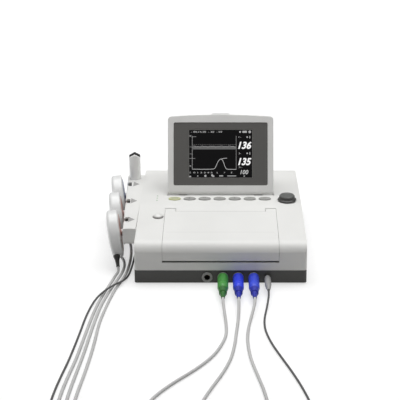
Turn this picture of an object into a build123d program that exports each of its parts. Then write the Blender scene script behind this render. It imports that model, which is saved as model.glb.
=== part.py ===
from build123d import *
import os
from math import cos, sin, tan, radians, degrees, pi, hypot, atan2

os.makedirs("parts", exist_ok=True)

# Desk-top fetal monitor with a fold-down screen, a strip-chart drawer, seven
# keys, a rotary knob, three belt transducers and a hand-held event marker.
# X runs to the viewer's right, Y away from the viewer and Z up. The origin is
# under the middle of the case, on the surface that the feet stand on.

# Case
case_width = 296.0
case_depth = 351.0
deck_height = 85.0
nose_height = 72.4
ramp_length = 156.5
band_height = 25.3
foot_height = 2.0
case_wall = 3.0
draft_angle = 0.7
shoulder_radius = 21.0
rear_radius = 20.0
front_corner = 5.0
rear_corner = 16.0
running_gap = 0.3
seat_gap = 0.05

front_y = -case_depth / 2
rear_y = case_depth / 2
half_width = case_width / 2
ramp_end = front_y + ramp_length
ramp_slope = (deck_height - nose_height) / (ramp_end - front_y)

# Chart drawer
drawer_width = 200.0
drawer_length = 137.5
drawer_sill = 39.3
drawer_slot = 3.5
drawer_gap = 0.5
tray_wall = 2.0
runner_width = 2.2
runner_height = 3.0
paper_width = 150.0
paper_fold = 90.0
paper_stack = 17.0
platen_radius = 7.0
platen_length = 152.0
platen_shaft = 2.5
platen_back = 12.0
platen_depth = 21.5
exit_width = 161.0
exit_recess = 20.0
exit_drop = 10.0
exit_slot = 1.7
exit_dip = 1.6
drawer_back = front_y + drawer_length
platen_y = drawer_back - platen_back
platen_z = deck_height - platen_depth

# Chart drive
gear_module = 0.75
platen_teeth = 28
pinion_teeth = 16
gear_width = 5.0
gear_inset = 13.5
motor_radius = 12.5
motor_length = 18.0
motor_shaft = 1.5

# Keys, knob and power button
key_count = 7
key_pitch = 27.65
key_centre_x = -1.7
key_y = drawer_back + 44.0
key_length = 22.4
key_depth = 14.4
key_rise = 2.0
key_travel = 1.2
key_gap = 0.4
key_lip = 1.2
knob_x = half_width - 26.3
knob_y = drawer_back + 37.8
knob_radius = 14.1
knob_flange = 16.8
knob_height = 10.5
knob_travel = 0.8
shaft_radius = 3.0
power_x = -drawer_width / 2 - 11.2
power_y = front_y + 107.0
power_radius = 9.75
power_dome = 5.0
power_lip = 1.2
lens_x = 31.2 - half_width
lens_y = drawer_back + 48.0
lens_pitch = 11.0
lens_count = 3

# Screen
screen_tilt = 65.0
screen_width = 196.0
screen_height = 145.0
screen_arch = 4.0
screen_thick = 22.0
bezel_depth = 9.5
plate_width = 174.3
plate_height = 117.0
plate_up = 16.5
window_width = 118.0
window_height = 89.5
window_up = 30.5
screen_vent_up = 62.0
barrel_radius = 5.5
hinge_y = drawer_back + 68.0
hinge_z = deck_height + 5.7
pin_radius = 2.0
pin_reach = 16.0
knuckle_x = 70.0
knuckle_width = 16.0
knuckle_radius = 4.0
stalk_half = 2.5
bay_gap = 0.7
knuckle_slot = 1.0

# Rear sockets and side vents
inlet_x = -95.0
inlet_z = 44.0
ground_x = -62.0
port_x = 60.0
vent_count = 10
vent_first = 105.5
vent_pitch = 6.0
vent_width = 2.2
vent_low = 44.0
vent_high = 62.0

# Front sockets
socket_z = 12.8
socket_x = [-23.0, 3.9, 30.0, 56.6]
jack_x = 80.3
socket_ring = 9.45
socket_bore = 5.15
socket_barrel = 7.7
ring_out = 2.0
nose_reach = 9.0
jack_barrel = 4.6
jack_bore = 1.75
plug_radius = 9.2
plug_body = 47.0
plug_collar = 15.0
plug_boot = 17.0

# Transducers and their holder
holder_angle = 2.2
holder_front = front_y + 48.5
holder_length = 268.0
holder_top = 82.0
holder_beam = 25.0
holder_left = -half_width - 22.0
slit_width = 5.8
disc_radius = 42.0
disc_thick = 24.0
disc_pitch = 88.0
disc_z = 58.0
disc_lean = 7.0
disc_turn = 3.4
first_disc = 42.0
disc_back = -4.6
cover_depth = 3.0
cover_bevel = 11.0
button_radius = 6.0
button_head = 9.0
button_hold = 4.2
boot_angle = 45.0
boot_length = 25.6
marker_along = 250.0
marker_radius = 10.8
marker_height = 98.0
marker_foot = 29.0
marker_cap = 7.5
marker_slope = 0.55
marker_bar = 8.0
marker_bar_rise = 2.2
marker_bar_thick = 4.0
marker_travel = 0.8
marker_stem = 5.0
marker_boot = 9.0

# Board, battery, speaker, feet and screws
board_z = 24.5
board_thick = 1.6
board_front = rear_y - 173.5
port_z = board_z + board_thick
board_posts = [(x, y) for x in (-70.0, half_width - 28) for y in (board_front + 8, rear_y - 41.5)]
post_radius = 3.5
battery_x = 42.0
battery_y = rear_y - 97.5
battery_size = (92.0, 62.0, 16.0)
cover_thick = 2.4
cover_grow = 3.8
foot_radius = 8.0
foot_seat = 1.0
foot_places = [(x * (half_width - 26), y * (rear_y - 27.5)) for x in (-1, 1) for y in (-1, 1)]
screw_places = [(x * (half_width - 44), y * (rear_y - 15.5)) for x in (-1, 1) for y in (-1, 1)]
screw_radius = 2.0
screw_head = 3.6
screw_slot = 3.6
speaker_x = -58.0
speaker_y = front_y + 57.5
speaker_radius = 20.0

# Cords
cord_diameter = 5.0
jack_cord_diameter = 3.5
coil_radius = 34.0
jack_coil_radius = 25.0
coil_quarters = 9
jack_coil_quarters = 11
coil_step = 1.0
boot_lead = 9.0
lie = cord_diameter / 2
jack_lie = jack_cord_diameter / 2


def rounded(points, radii):
    """A closed outline through the points, with each corner rounded by its own radius."""
    outline = Sketch() + make_face(Polyline(*points, close=True))
    for point, radius in zip(points, radii):
        if radius > 0:
            corner = outline.vertices().sort_by_distance(Vector(point[0], point[1], 0))[0]
            outline = fillet(corner, radius)
    return outline


def block(x0, x1, y0, y1, z0, z1):
    """A plain block between two corners."""
    middle = Pos((x0 + x1) / 2, (y0 + y1) / 2, (z0 + z1) / 2)
    return middle * Box(x1 - x0, y1 - y0, z1 - z0)


def rod(x, y, z0, z1, radius):
    """An upright round bar."""
    return Pos(x, y, (z0 + z1) / 2) * Cylinder(radius, z1 - z0)


def rod_x(x0, x1, y, z, radius):
    """A round bar along X."""
    return Pos((x0 + x1) / 2, y, z) * Rot(0, 90, 0) * Cylinder(radius, x1 - x0)


def rod_y(x, y0, y1, z, radius):
    """A round bar along Y."""
    return Pos(x, (y0 + y1) / 2, z) * Rot(90, 0, 0) * Cylinder(radius, y1 - y0)


def deck(y):
    """Height of the case's top at a place along its depth."""
    return deck_height if y > ramp_end else deck_height + (y - ramp_end) * ramp_slope


def case_solid(inset):
    """The whole case as one solid, drawn in evenly from the outside."""
    x, front, rear = half_width - inset, front_y + inset, rear_y - inset
    front_turn = max(front_corner - inset, 0.5)
    rear_turn = max(rear_corner - inset, 0.5)
    plan = rounded([(-x, front), (x, front), (x, rear), (-x, rear)],
                   [front_turn, front_turn, rear_turn, rear_turn])
    upright = extrude(Pos(0, 0, foot_height) * plan, deck_height, taper=draft_angle)
    floor = foot_height + inset
    side = rounded([(front, floor), (front, nose_height - inset), (ramp_end, deck_height - inset),
                    (rear, deck_height - inset), (rear, floor)],
                   [0, shoulder_radius - inset, 0, rear_radius - inset, 0])
    return upright & extrude(Plane.YZ * side, half_width + 1, both=True)


case_outside = case_solid(0)
case_inside = case_solid(case_wall)
case_span = [-half_width - 1, half_width + 1, front_y - 1, rear_y + 1]


# Chart drawer's places
bay_x = drawer_width / 2 + 1
bay_floor = drawer_sill - 1
tray_x = drawer_width / 2 - 2.5
gear_x = tray_x - gear_inset
tray_floor = drawer_sill + drawer_slot + 0.5
ledge_z = tray_floor + 3
bay_rear = drawer_back + 22.0
platen_pitch = gear_module * platen_teeth / 2
pinion_pitch = gear_module * pinion_teeth / 2
pinion_y = platen_y + platen_pitch + pinion_pitch
paper_front = platen_y - platen_radius - 2.5 - paper_fold

# Places on the deck
key_places = [key_centre_x + (i - (key_count - 1) / 2) * key_pitch for i in range(key_count)]
deck_under = deck_height - case_wall
key_sole = deck_under - 4.0
board_top = key_sole - key_travel - running_gap - 3.5
bay_front = hinge_y - barrel_radius - bay_gap
bay_bottom = hinge_z - hypot(barrel_radius, screen_thick - barrel_radius) - bay_gap
power_top = deck(power_y) + power_dome
slot_y = drawer_back + exit_slot - exit_drop
marker_top = marker_foot + marker_height + marker_cap
marker_apex = marker_top - marker_bar_rise


def key_outline(grow):
    return Ellipse(key_length / 2 + grow, key_depth / 2 + grow)


def screen_bay():
    """The recess that the folded screen lies in, open at the back."""
    x = screen_width / 2 + bay_gap
    return block(-x, x, bay_front, rear_y + 1, bay_bottom, deck_height + 1)


def drawer_space():
    """What the drawer and its slot take out of the case's top and front."""
    x = drawer_width / 2
    return block(-x, x, front_y - 1, drawer_back + exit_slot, drawer_sill, deck_height + 1)


def make_top_case():
    shell = case_outside - case_inside
    bay_x_out = screen_width / 2 + bay_gap + case_wall
    bay_walls = block(-bay_x_out, bay_x_out, bay_front - case_wall, rear_y, bay_bottom - case_wall,
                      deck_height) & case_outside
    shell = shell + bay_walls - screen_bay()
    shell = shell & block(*case_span, band_height, deck_height + 1)
    x = exit_width / 2
    lip = (case_outside - case_inside) & block(-x, x, slot_y, drawer_back + exit_slot + 0.1,
                                               platen_z, deck_height)
    shell = shell - drawer_space() + lip
    rise = degrees(atan2(ramp_slope, 1)) + degrees(atan2(exit_dip, exit_recess))
    recess = Pos(0, slot_y, deck(slot_y)) * Rot(rise, 0, 0)
    shell = shell - recess * block(-x + 0.5, x - 0.5, -1, exit_recess + 6, -exit_dip, 6)
    for x in key_places:
        shell = shell - Pos(x, key_y, deck_under - 1) * extrude(key_outline(key_gap), case_wall + 2)
    shell = shell - rod(knob_x, knob_y, deck_under - 1, deck_height + 1, shaft_radius + 1.5)
    shell = shell - rod(knob_x, knob_y, deck_height - 0.8, deck_height + 1, knob_flange + 1.2)
    shell = shell - rod(power_x, power_y, deck_under - 12, deck_height + 1, power_radius + key_gap)
    for i in range(lens_count):
        shell = shell - rod(lens_x, lens_y + (i - 1) * lens_pitch, deck_under - 1, deck_height + 1, 1.5)
    for i in range(key_count - 1):
        post_x = (key_places[i] + key_places[i + 1]) / 2
        shell = shell + rod(post_x, key_y - 9.5, board_top, deck_under + 0.5, 1.9)
    shell = shell - block(inlet_x - 13.8, inlet_x + 13.8, rear_y - 9, rear_y + 1, inlet_z - 10, inlet_z + 10)
    shell = shell - rod_y(ground_x, rear_y - 9, rear_y + 1, inlet_z, 3.1)
    shell = shell - block(port_x - 8.2, port_x + 8.2, rear_y - 9, rear_y + 1, port_z, port_z + 14)
    for k in range(vent_count):
        y = rear_y - vent_first + vent_pitch * k
        shell = shell - block(half_width - 6, half_width + 1, y, y + vent_width, vent_low, vent_high)
    return shell


def make_bottom_case():
    shell = (case_outside - case_inside) & block(*case_span, 0, band_height)
    inside = case_inside & block(*case_span, 0, band_height)
    under = foot_height + case_wall
    for x, y in board_posts:
        shell = shell + rod(x, y, under - 1, board_z, post_radius)
    for x, y in screw_places:
        shell = shell + (rod(x, y, under - 1, band_height, 5.0) & (inside + block(*case_span, 3, 6)))
        shell = shell - rod(x, y, 0, band_height + 1, screw_radius + 0.2)
        shell = shell - rod(x, y, 0, foot_height + 3.2, screw_head + 0.4)
    for x, y in foot_places:
        shell = shell - rod(x, y, 0, foot_height + foot_seat, foot_radius + 0.1)
    for x in socket_x + [jack_x]:
        radius = socket_barrel if x != jack_x else jack_barrel
        shell = shell - rod_y(x, front_y - 1, front_y + case_wall + 1, socket_z, radius + seat_gap)
    bx, by, bz = battery_size
    shell = shell + block(battery_x - bx / 2 - 7, battery_x + bx / 2 + 7, battery_y - by / 2 - 7,
                          battery_y + by / 2 + 7, under - 1, under + 2)
    shell = shell - block(battery_x - bx / 2 - 1, battery_x + bx / 2 + 1, battery_y - by / 2 - 1,
                          battery_y + by / 2 + 1, 0, under + 3)
    grow = cover_grow + 0.2
    shell = shell - block(battery_x - bx / 2 - grow, battery_x + bx / 2 + grow, battery_y - by / 2 - grow,
                          battery_y + by / 2 + grow, 0, foot_height + cover_thick + 0.2)
    for k in range(-3, 4):
        reach = 15.0 - abs(k) * 1.6
        shell = shell - block(speaker_x + k * 4.6 - 1.1, speaker_x + k * 4.6 + 1.1, speaker_y - reach,
                              speaker_y + reach, 0, under + 1)
    return shell


def make_printer_bay():
    """The drawer's guide box, fixed inside the case, with a ledge on each side."""
    room = case_solid(case_wall + 0.03)
    box = block(-bay_x - 2, bay_x + 2, front_y, bay_rear, bay_floor - 2, deck_height)
    box = box - block(-bay_x, bay_x, front_y - 1, bay_rear - 2, bay_floor, deck_height + 1)
    for side in (-1, 1):
        x0, x1 = sorted((side * (tray_x + 0.5), side * (bay_x + 0.5)))
        box = box + block(x0, x1, front_y, bay_rear - 2, ledge_z - 2, ledge_z)
        post_x = side * (bay_x - 8)
        for post_y in (front_y + 75.5, bay_rear - 12):
            box = box + rod(post_x, post_y, foot_height + case_wall, bay_floor - 1, post_radius)
    box = box - rod_x(bay_x - 1, bay_x + 3, pinion_y, platen_z, motor_shaft + 2)
    box = box - block(-bay_x + 6, bay_x - 6, bay_rear - 3, bay_rear + 1, platen_z + 9, deck_height)
    box = box - rod(power_x, power_y, platen_z, deck_height, power_radius + 3)
    clear = block(-drawer_width / 2 + 0.2, drawer_width / 2 - 0.2, front_y - 1, slot_y,
                  drawer_sill, deck_height)
    return (box & room) - (clear & block(-200, 200, front_y - 1, front_y + case_wall + 4, 0, 100))


def make_drawer_cover():
    x = drawer_width / 2 - drawer_gap
    span = block(-x, x, front_y - 1, drawer_back, drawer_sill + drawer_slot, deck_height + 1)
    lip_x = exit_width / 2 + drawer_gap
    span = span - block(-lip_x, lip_x, drawer_back - exit_drop, drawer_back + 1, platen_z, deck_height + 2)
    return (case_outside - case_inside) & span


def make_drawer_tray():
    room = case_solid(case_wall + 0.02)
    back = drawer_back - 1
    tray = block(-tray_x, tray_x, front_y, back, tray_floor, deck_height)
    tray = tray - block(-tray_x + tray_wall, tray_x - tray_wall, front_y + case_wall + tray_wall, back + 1,
                        tray_floor + tray_wall, deck_height + 1)
    tray = tray & room
    for side in (-1, 1):
        x0, x1 = sorted((side * (tray_x - 0.5), side * (tray_x + runner_width)))
        tray = tray + block(x0, x1, front_y + case_wall + 6, back, ledge_z + running_gap,
                            ledge_z + running_gap + runner_height)
        x0, x1 = sorted((side * (paper_width / 2 + 1), side * (paper_width / 2 + 3)))
        tray = tray + block(x0, x1, paper_front - 1, paper_front + paper_fold + 1, tray_floor + 1,
                            tray_floor + 16)
    tray = tray + block(-60, 60, paper_front + paper_fold + 1, paper_front + paper_fold + 3,
                        tray_floor + 1, tray_floor + 8)
    tray = tray - rod_x(-tray_x - 1, tray_x + 1, platen_y, platen_z, platen_shaft + seat_gap)
    return tray


def make_paper_pack():
    """A fan-folded pack, with its folds as fine grooves across the short ends."""
    z0 = tray_floor + tray_wall
    pack = block(-paper_width / 2, paper_width / 2, paper_front, paper_front + paper_fold, z0,
                 z0 + paper_stack)
    for k in range(1, 8):
        z = z0 + k * paper_stack / 8
        for y in (paper_front, paper_front + paper_fold):
            pack = pack - block(-paper_width, paper_width, y - 0.4, y + 0.4, z - 0.25, z + 0.25)
    return pack


def gear(teeth, width, phase):
    """A spur gear about local Z, with straight-flanked teeth and a little backlash."""
    pitch = gear_module * teeth / 2
    tip, root = pitch + gear_module * 0.9, pitch - gear_module * 1.2
    step = 2 * pi / teeth
    points = []
    for i in range(teeth):
        centre = i * step + phase
        for radius, share in ((root, -0.30), (pitch, -0.21), (tip, -0.11), (tip, 0.11), (pitch, 0.21),
                              (root, 0.30)):
            angle = centre + share * step
            points.append((radius * cos(angle), radius * sin(angle)))
    return extrude(make_face(Polyline(*points, close=True)), width)


def make_platen():
    roller = rod_x(-platen_length / 2, platen_length / 2, platen_y, platen_z, platen_radius)
    shaft = rod_x(-tray_x, tray_x, platen_y, platen_z, platen_shaft)
    wheel = Pos(gear_x, platen_y, platen_z) * Rot(0, 90, 0) * gear(platen_teeth, gear_width, pi / 2)
    return roller + shaft + wheel


def make_pinion():
    wheel = gear(pinion_teeth, gear_width, -pi / 2 + pi / pinion_teeth)
    shaft = Pos(0, 0, (bay_x + 1.5 - gear_x) / 2) * Cylinder(motor_shaft, bay_x + 1.5 - gear_x)
    return Pos(gear_x, pinion_y, platen_z) * Rot(0, 90, 0) * (wheel + shaft)


def make_motor():
    x = bay_x + 2
    body = rod_x(x, x + motor_length, pinion_y, platen_z, motor_radius)
    ears = block(x, x + 1.2, pinion_y - 3.5, pinion_y + 3.5, platen_z - 15.5, platen_z + 12)
    front = body + ears
    front = chamfer(front.edges().filter_by(GeomType.CIRCLE).group_by(Axis.X)[-1], 1.0)
    return front - rod_x(x - 1, x + 6, pinion_y, platen_z, motor_shaft + seat_gap)


def make_print_head():
    """The thermal head: a bar against the platen on a spring-backed carrier."""
    face_y = platen_y + platen_radius + running_gap
    x = platen_length / 2
    head = block(-x, x, face_y, face_y + 3.5, platen_z - 8, platen_z + 8)
    carrier = block(-x + 10, x - 10, face_y + 3.5, face_y + 6, platen_z - 6, platen_z + 6)
    head = head + carrier
    for k in (-1, 0, 1):
        head = head + rod_y(k * 50, face_y + 5, bay_rear - 2, platen_z - 1, 4.0)
    return head


def make_key(x):
    """One oval key: domed cap, stem through the deck and a lip that keeps it in."""
    cap = Pos(x, key_y, deck_under - 0.5) * extrude(key_outline(0), case_wall + key_rise + 0.5)
    top = cap.edges().group_by(Axis.Z)[-1]
    cap = fillet(top, 1.5)
    lip = Pos(x, key_y, deck_under - running_gap - 1.4) * extrude(key_outline(key_lip), 1.4)
    stem = block(x - 2, x + 2, key_y - 2, key_y + 2, key_sole, deck_under - 1)
    return cap + lip + stem


def make_key_board():
    board = block(key_places[0] - 13, key_places[-1] + 13, key_y - 13, key_y + 8, board_top - 1.6, board_top)
    for x in key_places:
        board = board + block(x - 3, x + 3, key_y - 3, key_y + 3, board_top - 0.5, board_top + 3.5)
    return board


def make_power_button():
    lip_top = deck(power_y - power_radius - power_lip) - case_wall - 0.5
    curve = (power_radius ** 2 + power_dome ** 2) / (2 * power_dome)
    cap = rod(power_x, power_y, lip_top - 1.6, power_top, power_radius)
    cap = cap & (Pos(power_x, power_y, power_top - curve) * Sphere(curve)
                 + rod(power_x, power_y, lip_top - 2, power_top - power_dome + 0.5, power_radius + 1))
    lip = rod(power_x, power_y, lip_top - 1.6, lip_top, power_radius + power_lip)
    return cap + lip


def make_encoder():
    top = deck_under
    body = block(knob_x - 7, knob_x + 7, knob_y - 7, knob_y + 7, top - 9, top)
    body = body + block(knob_x - 9, knob_x + 9, knob_y - 9, knob_y + 9, top - 10.6, top - 9)
    return body - rod(knob_x, knob_y, top - 12, top + 1, shaft_radius + seat_gap)


def make_knob_shaft():
    shaft = rod(knob_x, knob_y, deck_under - 9, deck_height + knob_height - 2.4, shaft_radius)
    return shaft + rod(knob_x, knob_y, deck_under + knob_travel + running_gap, deck_height - 0.3,
                       shaft_radius + 1.2)


def make_knob():
    """A turned knob: wide skirt, drawn-in waist, fluted grip and a shallow dished top."""
    low = deck_height + knob_travel + running_gap
    high = deck_height + knob_height
    side = Polyline((0, low), (knob_flange, low), (knob_flange, low + 1.6), (knob_radius + 0.6, low + 3.2),
                    (knob_radius, high - 1.6), (knob_radius - 1.6, high), (knob_radius - 4, high),
                    (knob_radius - 5.5, high - 0.6), (0, high - 0.6), close=True)
    knob = revolve(Plane.XZ * make_face(side), Axis.Z)
    for k in range(24):
        a = 2 * pi * k / 24
        groove = Pos((knob_radius + 1.1) * cos(a), (knob_radius + 1.1) * sin(a), (low + high) / 2 + 2)
        knob = knob - groove * Cylinder(1.3, high - low - 4)
    knob = knob - rod(0, 0, low - 1, high - 2.1, shaft_radius + seat_gap)
    return Pos(knob_x, knob_y, 0) * knob


def make_lenses():
    lenses = [rod(lens_x, lens_y + (i - 1) * lens_pitch, deck_under - 3, deck_height + 0.3, 1.45)
              for i in range(lens_count)]
    strip = block(lens_x - 4, lens_x + 4, lens_y - lens_pitch - 5, lens_y + lens_pitch + 5,
                  deck_under - 4.6, deck_under - 3)
    piece = strip
    for lens in lenses:
        piece = piece + lens
    return piece + block(lens_x - 4, lens_x - 2.4, lens_y - 4, lens_y + 4, deck_under - 4, deck_under)


# Screen: drawn lying face up, with the hinge line at its origin
def screen_outline(inset):
    """The screen's outline: straight sides, a gently arched top and rounded corners."""
    x, low = screen_width / 2 - inset, -barrel_radius + inset
    high = screen_height - barrel_radius - inset
    edges = [Line((-x, low), (x, low)), Line((x, low), (x, high)),
             ThreePointArc((x, high), (0, high + screen_arch), (-x, high)), Line((-x, high), (-x, low))]
    outline = Sketch() + make_face(Wire(edges))
    for corner, radius in (((x, high), 7.0), ((-x, high), 7.0), ((x, low), 3.0), ((-x, low), 3.0)):
        spot = outline.vertices().sort_by_distance(Vector(*corner, 0))[0]
        outline = fillet(spot, radius - inset / 2)
    return outline


def screen_side():
    """Side shape of the screen: a round barrel edge at the hinge."""
    back = barrel_radius - screen_thick
    top = screen_height + 10
    corners = [(-barrel_radius, barrel_radius), (top, barrel_radius), (top, back), (-barrel_radius, back)]
    side = rounded(corners, [barrel_radius - 0.1, 0, 0, 5.0])
    return extrude(Plane.YZ * side, screen_width, both=True)


def knuckle_notches():
    """Room in the screen's lower edge for the hinge knuckles, closed towards the viewer."""
    half = knuckle_width / 2 + 0.5
    reach = knuckle_radius + 0.4
    cut = None
    for side in (-1, 1):
        x0, x1 = side * knuckle_x - half, side * knuckle_x + half
        notch = rod_x(x0, x1, 0, 0, reach) + block(x0, x1, -20, reach + 2.0, -30, knuckle_slot)
        cut = notch if cut is None else cut + notch
    return cut


def upright(piece):
    """Swings a piece of the screen from lying flat to its place in use."""
    return Pos(0, hinge_y, hinge_z) * Rot(screen_tilt, 0, 0) * piece


screen_split = barrel_radius - bezel_depth
plate_low = plate_up - barrel_radius
plate_seat = barrel_radius - 2.8
window_low = window_up - barrel_radius
window_y = window_low + window_height / 2


def plate_outline(grow):
    place = Pos(0, plate_low + plate_height / 2)
    return place * RectangleRounded(plate_width + 2 * grow, plate_height + 2 * grow, 3.0)


def make_screen_frame():
    body = extrude(Pos(0, 0, screen_split) * screen_outline(0), bezel_depth)
    body = fillet(body.edges().group_by(Axis.Z)[-1], 1.6)
    body = body & screen_side()
    body = body - extrude(Pos(0, 0, plate_seat) * plate_outline(0.15), 10)
    body = body - extrude(Pos(0, 0, screen_split - 1) * plate_outline(-3.0), 20)
    body = body - knuckle_notches()
    high = screen_height - barrel_radius + screen_arch
    tab = block(-18, 18, high - 3, high + 1.5, screen_split + 1.5, barrel_radius - 1.2)
    tab = fillet(tab.edges().filter_by(Axis.Z).group_by(Axis.Y)[-1], 4.0)
    body = body + tab
    for side in (-1, 1):
        body = body - rod_x(side * knuckle_x - pin_reach, side * knuckle_x + pin_reach, 0, 0, pin_radius)
    return upright(body)


def make_screen_back():
    body = extrude(Pos(0, 0, screen_split) * screen_outline(0.6), -(screen_thick - bezel_depth), taper=10)
    body = body & screen_side()
    room = bezel_depth + 2.5 - screen_thick
    inner = extrude(Pos(0, 0, screen_split) * screen_outline(5.0), room, taper=10)
    body = body - (inner & block(-200, 200, barrel_radius + 3.5, 200, -40, 20))
    for x in (-64, 64):
        for y in (window_y - 44, window_y + 44):
            body = body + rod(x, y, barrel_radius - screen_thick + 1, screen_split, 3.0)
    for k in range(-2, 3):
        y = screen_vent_up + k * vent_pitch
        body = body - block(-60, 60, y - 0.9, y + 0.9, -30, barrel_radius - screen_thick + 0.8)
    return upright(body - knuckle_notches())


def make_faceplate():
    plate = extrude(Pos(0, 0, plate_seat) * plate_outline(0), 2.0)
    window = Pos(0, window_y) * RectangleRounded(window_width, window_height, 0.8)
    return upright(plate - extrude(Pos(0, 0, plate_seat - 1) * window, 5))


def make_display():
    """The display module: a metal-backed body with its glass up in the window."""
    body = block(-72, 72, window_y - 52, window_y + 52, screen_split, plate_seat)
    x, y = window_width / 2 - 0.4, window_height / 2 - 0.4
    return upright(body + block(-x, x, window_y - y, window_y + y, plate_seat - 0.5, plate_seat + 1.2))


def make_hinge_pins():
    pins = [rod_x(side * knuckle_x - pin_reach, side * knuckle_x + pin_reach, 0, 0, pin_radius)
            for side in (-1, 1)]
    return [upright(pin) for pin in pins]


def make_hinge_brackets():
    """Two knuckles that stand on the bay's floor and hold the pins."""
    brackets = []
    for side in (-1, 1):
        x0, x1 = side * knuckle_x - knuckle_width / 2, side * knuckle_x + knuckle_width / 2
        ear = rod_x(x0, x1, hinge_y, hinge_z, knuckle_radius)
        ear = ear + block(x0, x1, hinge_y - stalk_half, hinge_y + stalk_half, bay_bottom, hinge_z)
        brackets.append(ear - rod_x(x0 - 1, x1 + 1, hinge_y, hinge_z, pin_radius + seat_gap))
    return brackets


# Transducer holder: drawn with its left face on X = 0 and its front on Y = 0
holder_place = Pos(holder_left, holder_front, 0) * Rot(0, 0, holder_angle)
disc_along = [first_disc + i * disc_pitch for i in range(3)]
case_side = -half_width + 0.5
marker_x = 14.5


def make_holder():
    low = holder_top - holder_beam
    beam = block(0, 60, 0, holder_length, low, holder_top)
    beam = fillet(beam.edges().filter_by(Axis.Y).group_by(Axis.X)[0].group_by(Axis.Z)[-1], 3.0)
    beam = beam - block(3, 70, 3, holder_length - 3, low - 1, holder_top - 3)
    beam = beam + block(0, 3, 5, holder_length - 5, low - 7, low + 1)
    beam = beam + block(3, 60, 4, 7, low - 5, low + 8)
    shelf = marker_foot + 7 - running_gap
    beam = beam + rod(marker_x, marker_along, shelf - 2.5, holder_top - 2, marker_radius + 3)
    beam = beam - rod(marker_x, marker_along, shelf, holder_top + 1, marker_radius + 0.4)
    beam = beam - rod(marker_x, marker_along, shelf - 4, shelf + 1, 6.0)
    beam = beam - block(marker_x - 20, marker_x, marker_along - 3, marker_along + 3, shelf - 4, shelf + 1)
    for y in (disc_along[0] + disc_pitch / 2, disc_along[1] + disc_pitch / 2, 6, holder_length - 35):
        beam = beam + block(2, 60, y - 1.2, y + 1.2, low + 4, holder_top - 1)
    for y in disc_along:
        width = button_radius + 0.5
        beam = beam - block(-1, 3.5, y - width, y + width, disc_z, holder_top + 1)
        beam = beam - Pos(1, y, disc_z) * Rot(0, 90, 0) * Cylinder(width, 5)
        beam = beam - block(3, 3 + slit_width, y - button_head - 0.8, y + button_head + 0.8,
                            holder_top - 6, holder_top + 1)
    beam = holder_place * beam
    return beam & block(-300, case_side, -400, 400, 0, 200)


def disc_place(i):
    return holder_place * Pos(0, disc_along[i], disc_z) * Rot(0, 0, disc_turn) * Rot(0, -disc_lean, 0)


def turned(points):
    """A solid turned about local X from points of distance along X and radius."""
    return revolve(Plane.XY * make_face(Polyline(*points, close=True)), Axis.X)


def make_disc_shell(i):
    """The housing: a drum with a gently domed face, and the cord's boot low at the front."""
    near, far = disc_back - cover_depth, disc_back - disc_thick
    arc = ThreePointArc((far, 0), (far + 0.8, disc_radius * 0.5), (far + 3.2, disc_radius - 5))
    edges = [Line((near, 0), (far, 0)), arc,
             ThreePointArc((far + 3.2, disc_radius - 5), (far + 4.6, disc_radius - 1.6),
                           (far + 8, disc_radius)),
             Line((far + 8, disc_radius), (near, disc_radius - 0.6)),
             Line((near, disc_radius - 0.6), (near, 0))]
    drum = revolve(Plane.XY * make_face(Wire(edges)), Axis.X)
    middle = (near + far) / 2
    boot = Pos(middle, 0, 0) * Rot(90 + boot_angle, 0, 0) * cone_stack(
        disc_radius - 4, [(6.2, 6.0), (6.2, 5.6), (4.4, 0), (4.2, 8.5), (3.2, 5.5)])
    return disc_place(i) * (drum + boot)


def cone_stack(start, steps):
    """A stepped round stem along +Z: pairs of radius and length, joined as cones."""
    z, points = start, [(0, start)]
    for radius, length in steps:
        points.append((radius, z))
        z += length
    points.append((steps[-1][0], z))
    points.append((0, z))
    clean = [points[0]]
    for point in points[1:]:
        if hypot(point[0] - clean[-1][0], point[1] - clean[-1][1]) > 1e-6:
            clean.append(point)
    return revolve(Plane.XZ * make_face(Polyline(*clean, close=True)), Axis.Z)


def make_disc_cover(i):
    """The coloured back cover, with the round belt button that hangs in the holder."""
    near, far = disc_back, disc_back - cover_depth
    rim = disc_radius - 0.6
    cover = turned([(far, 0), (far, rim), (far + 0.8, rim), (near, disc_radius - cover_bevel),
                    (near, 0)])
    neck = turned([(near - 1, 0), (near - 1, button_radius), (button_hold + 1, button_radius),
                   (button_hold + 1, 0)])
    low, high = button_hold + 0.4, button_hold + 2.6
    head = turned([(low, 0), (low, button_head), (high - 1, button_head), (high, button_head - 1.2), (high, 0)])
    return disc_place(i) * (cover + neck + head)


def gable(apex, half):
    """Everything under a roof whose ridge runs along Y, out to half each way along Y."""
    side = 2 * marker_radius
    drop = side * marker_slope
    roof = Polyline((0, apex), (side, apex - drop), (side, 0), (-side, 0), (-side, apex - drop), close=True)
    return extrude(Plane.XZ * make_face(roof), half, both=True)


def make_marker():
    """The hand-held marker: a slim round grip with a roof-shaped top and a boot at its foot."""
    body = rod(0, 0, marker_foot + 7, marker_top, marker_radius)
    body = fillet(body.edges().group_by(Axis.Z)[0], 2.0)
    body = body & gable(marker_apex, 2 * marker_radius)
    channel = marker_bar / 2 + running_gap
    seat = marker_top - marker_bar_thick - marker_travel - 0.1
    body = body - (block(-20, 20, -channel, channel, marker_foot, marker_top) - gable(seat, 2 * channel))
    body = body - rod(0, 0, marker_top - 22, marker_top, marker_stem + running_gap)
    low, high = marker_foot - marker_boot, marker_foot + 8
    side = Polyline((0, low), (2.6, low), (4.2, high), (0, high), close=True)
    boot = revolve(Plane.XZ * make_face(side), Axis.Z)
    return holder_place * Pos(marker_x, marker_along, 0) * (body + boot)


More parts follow.
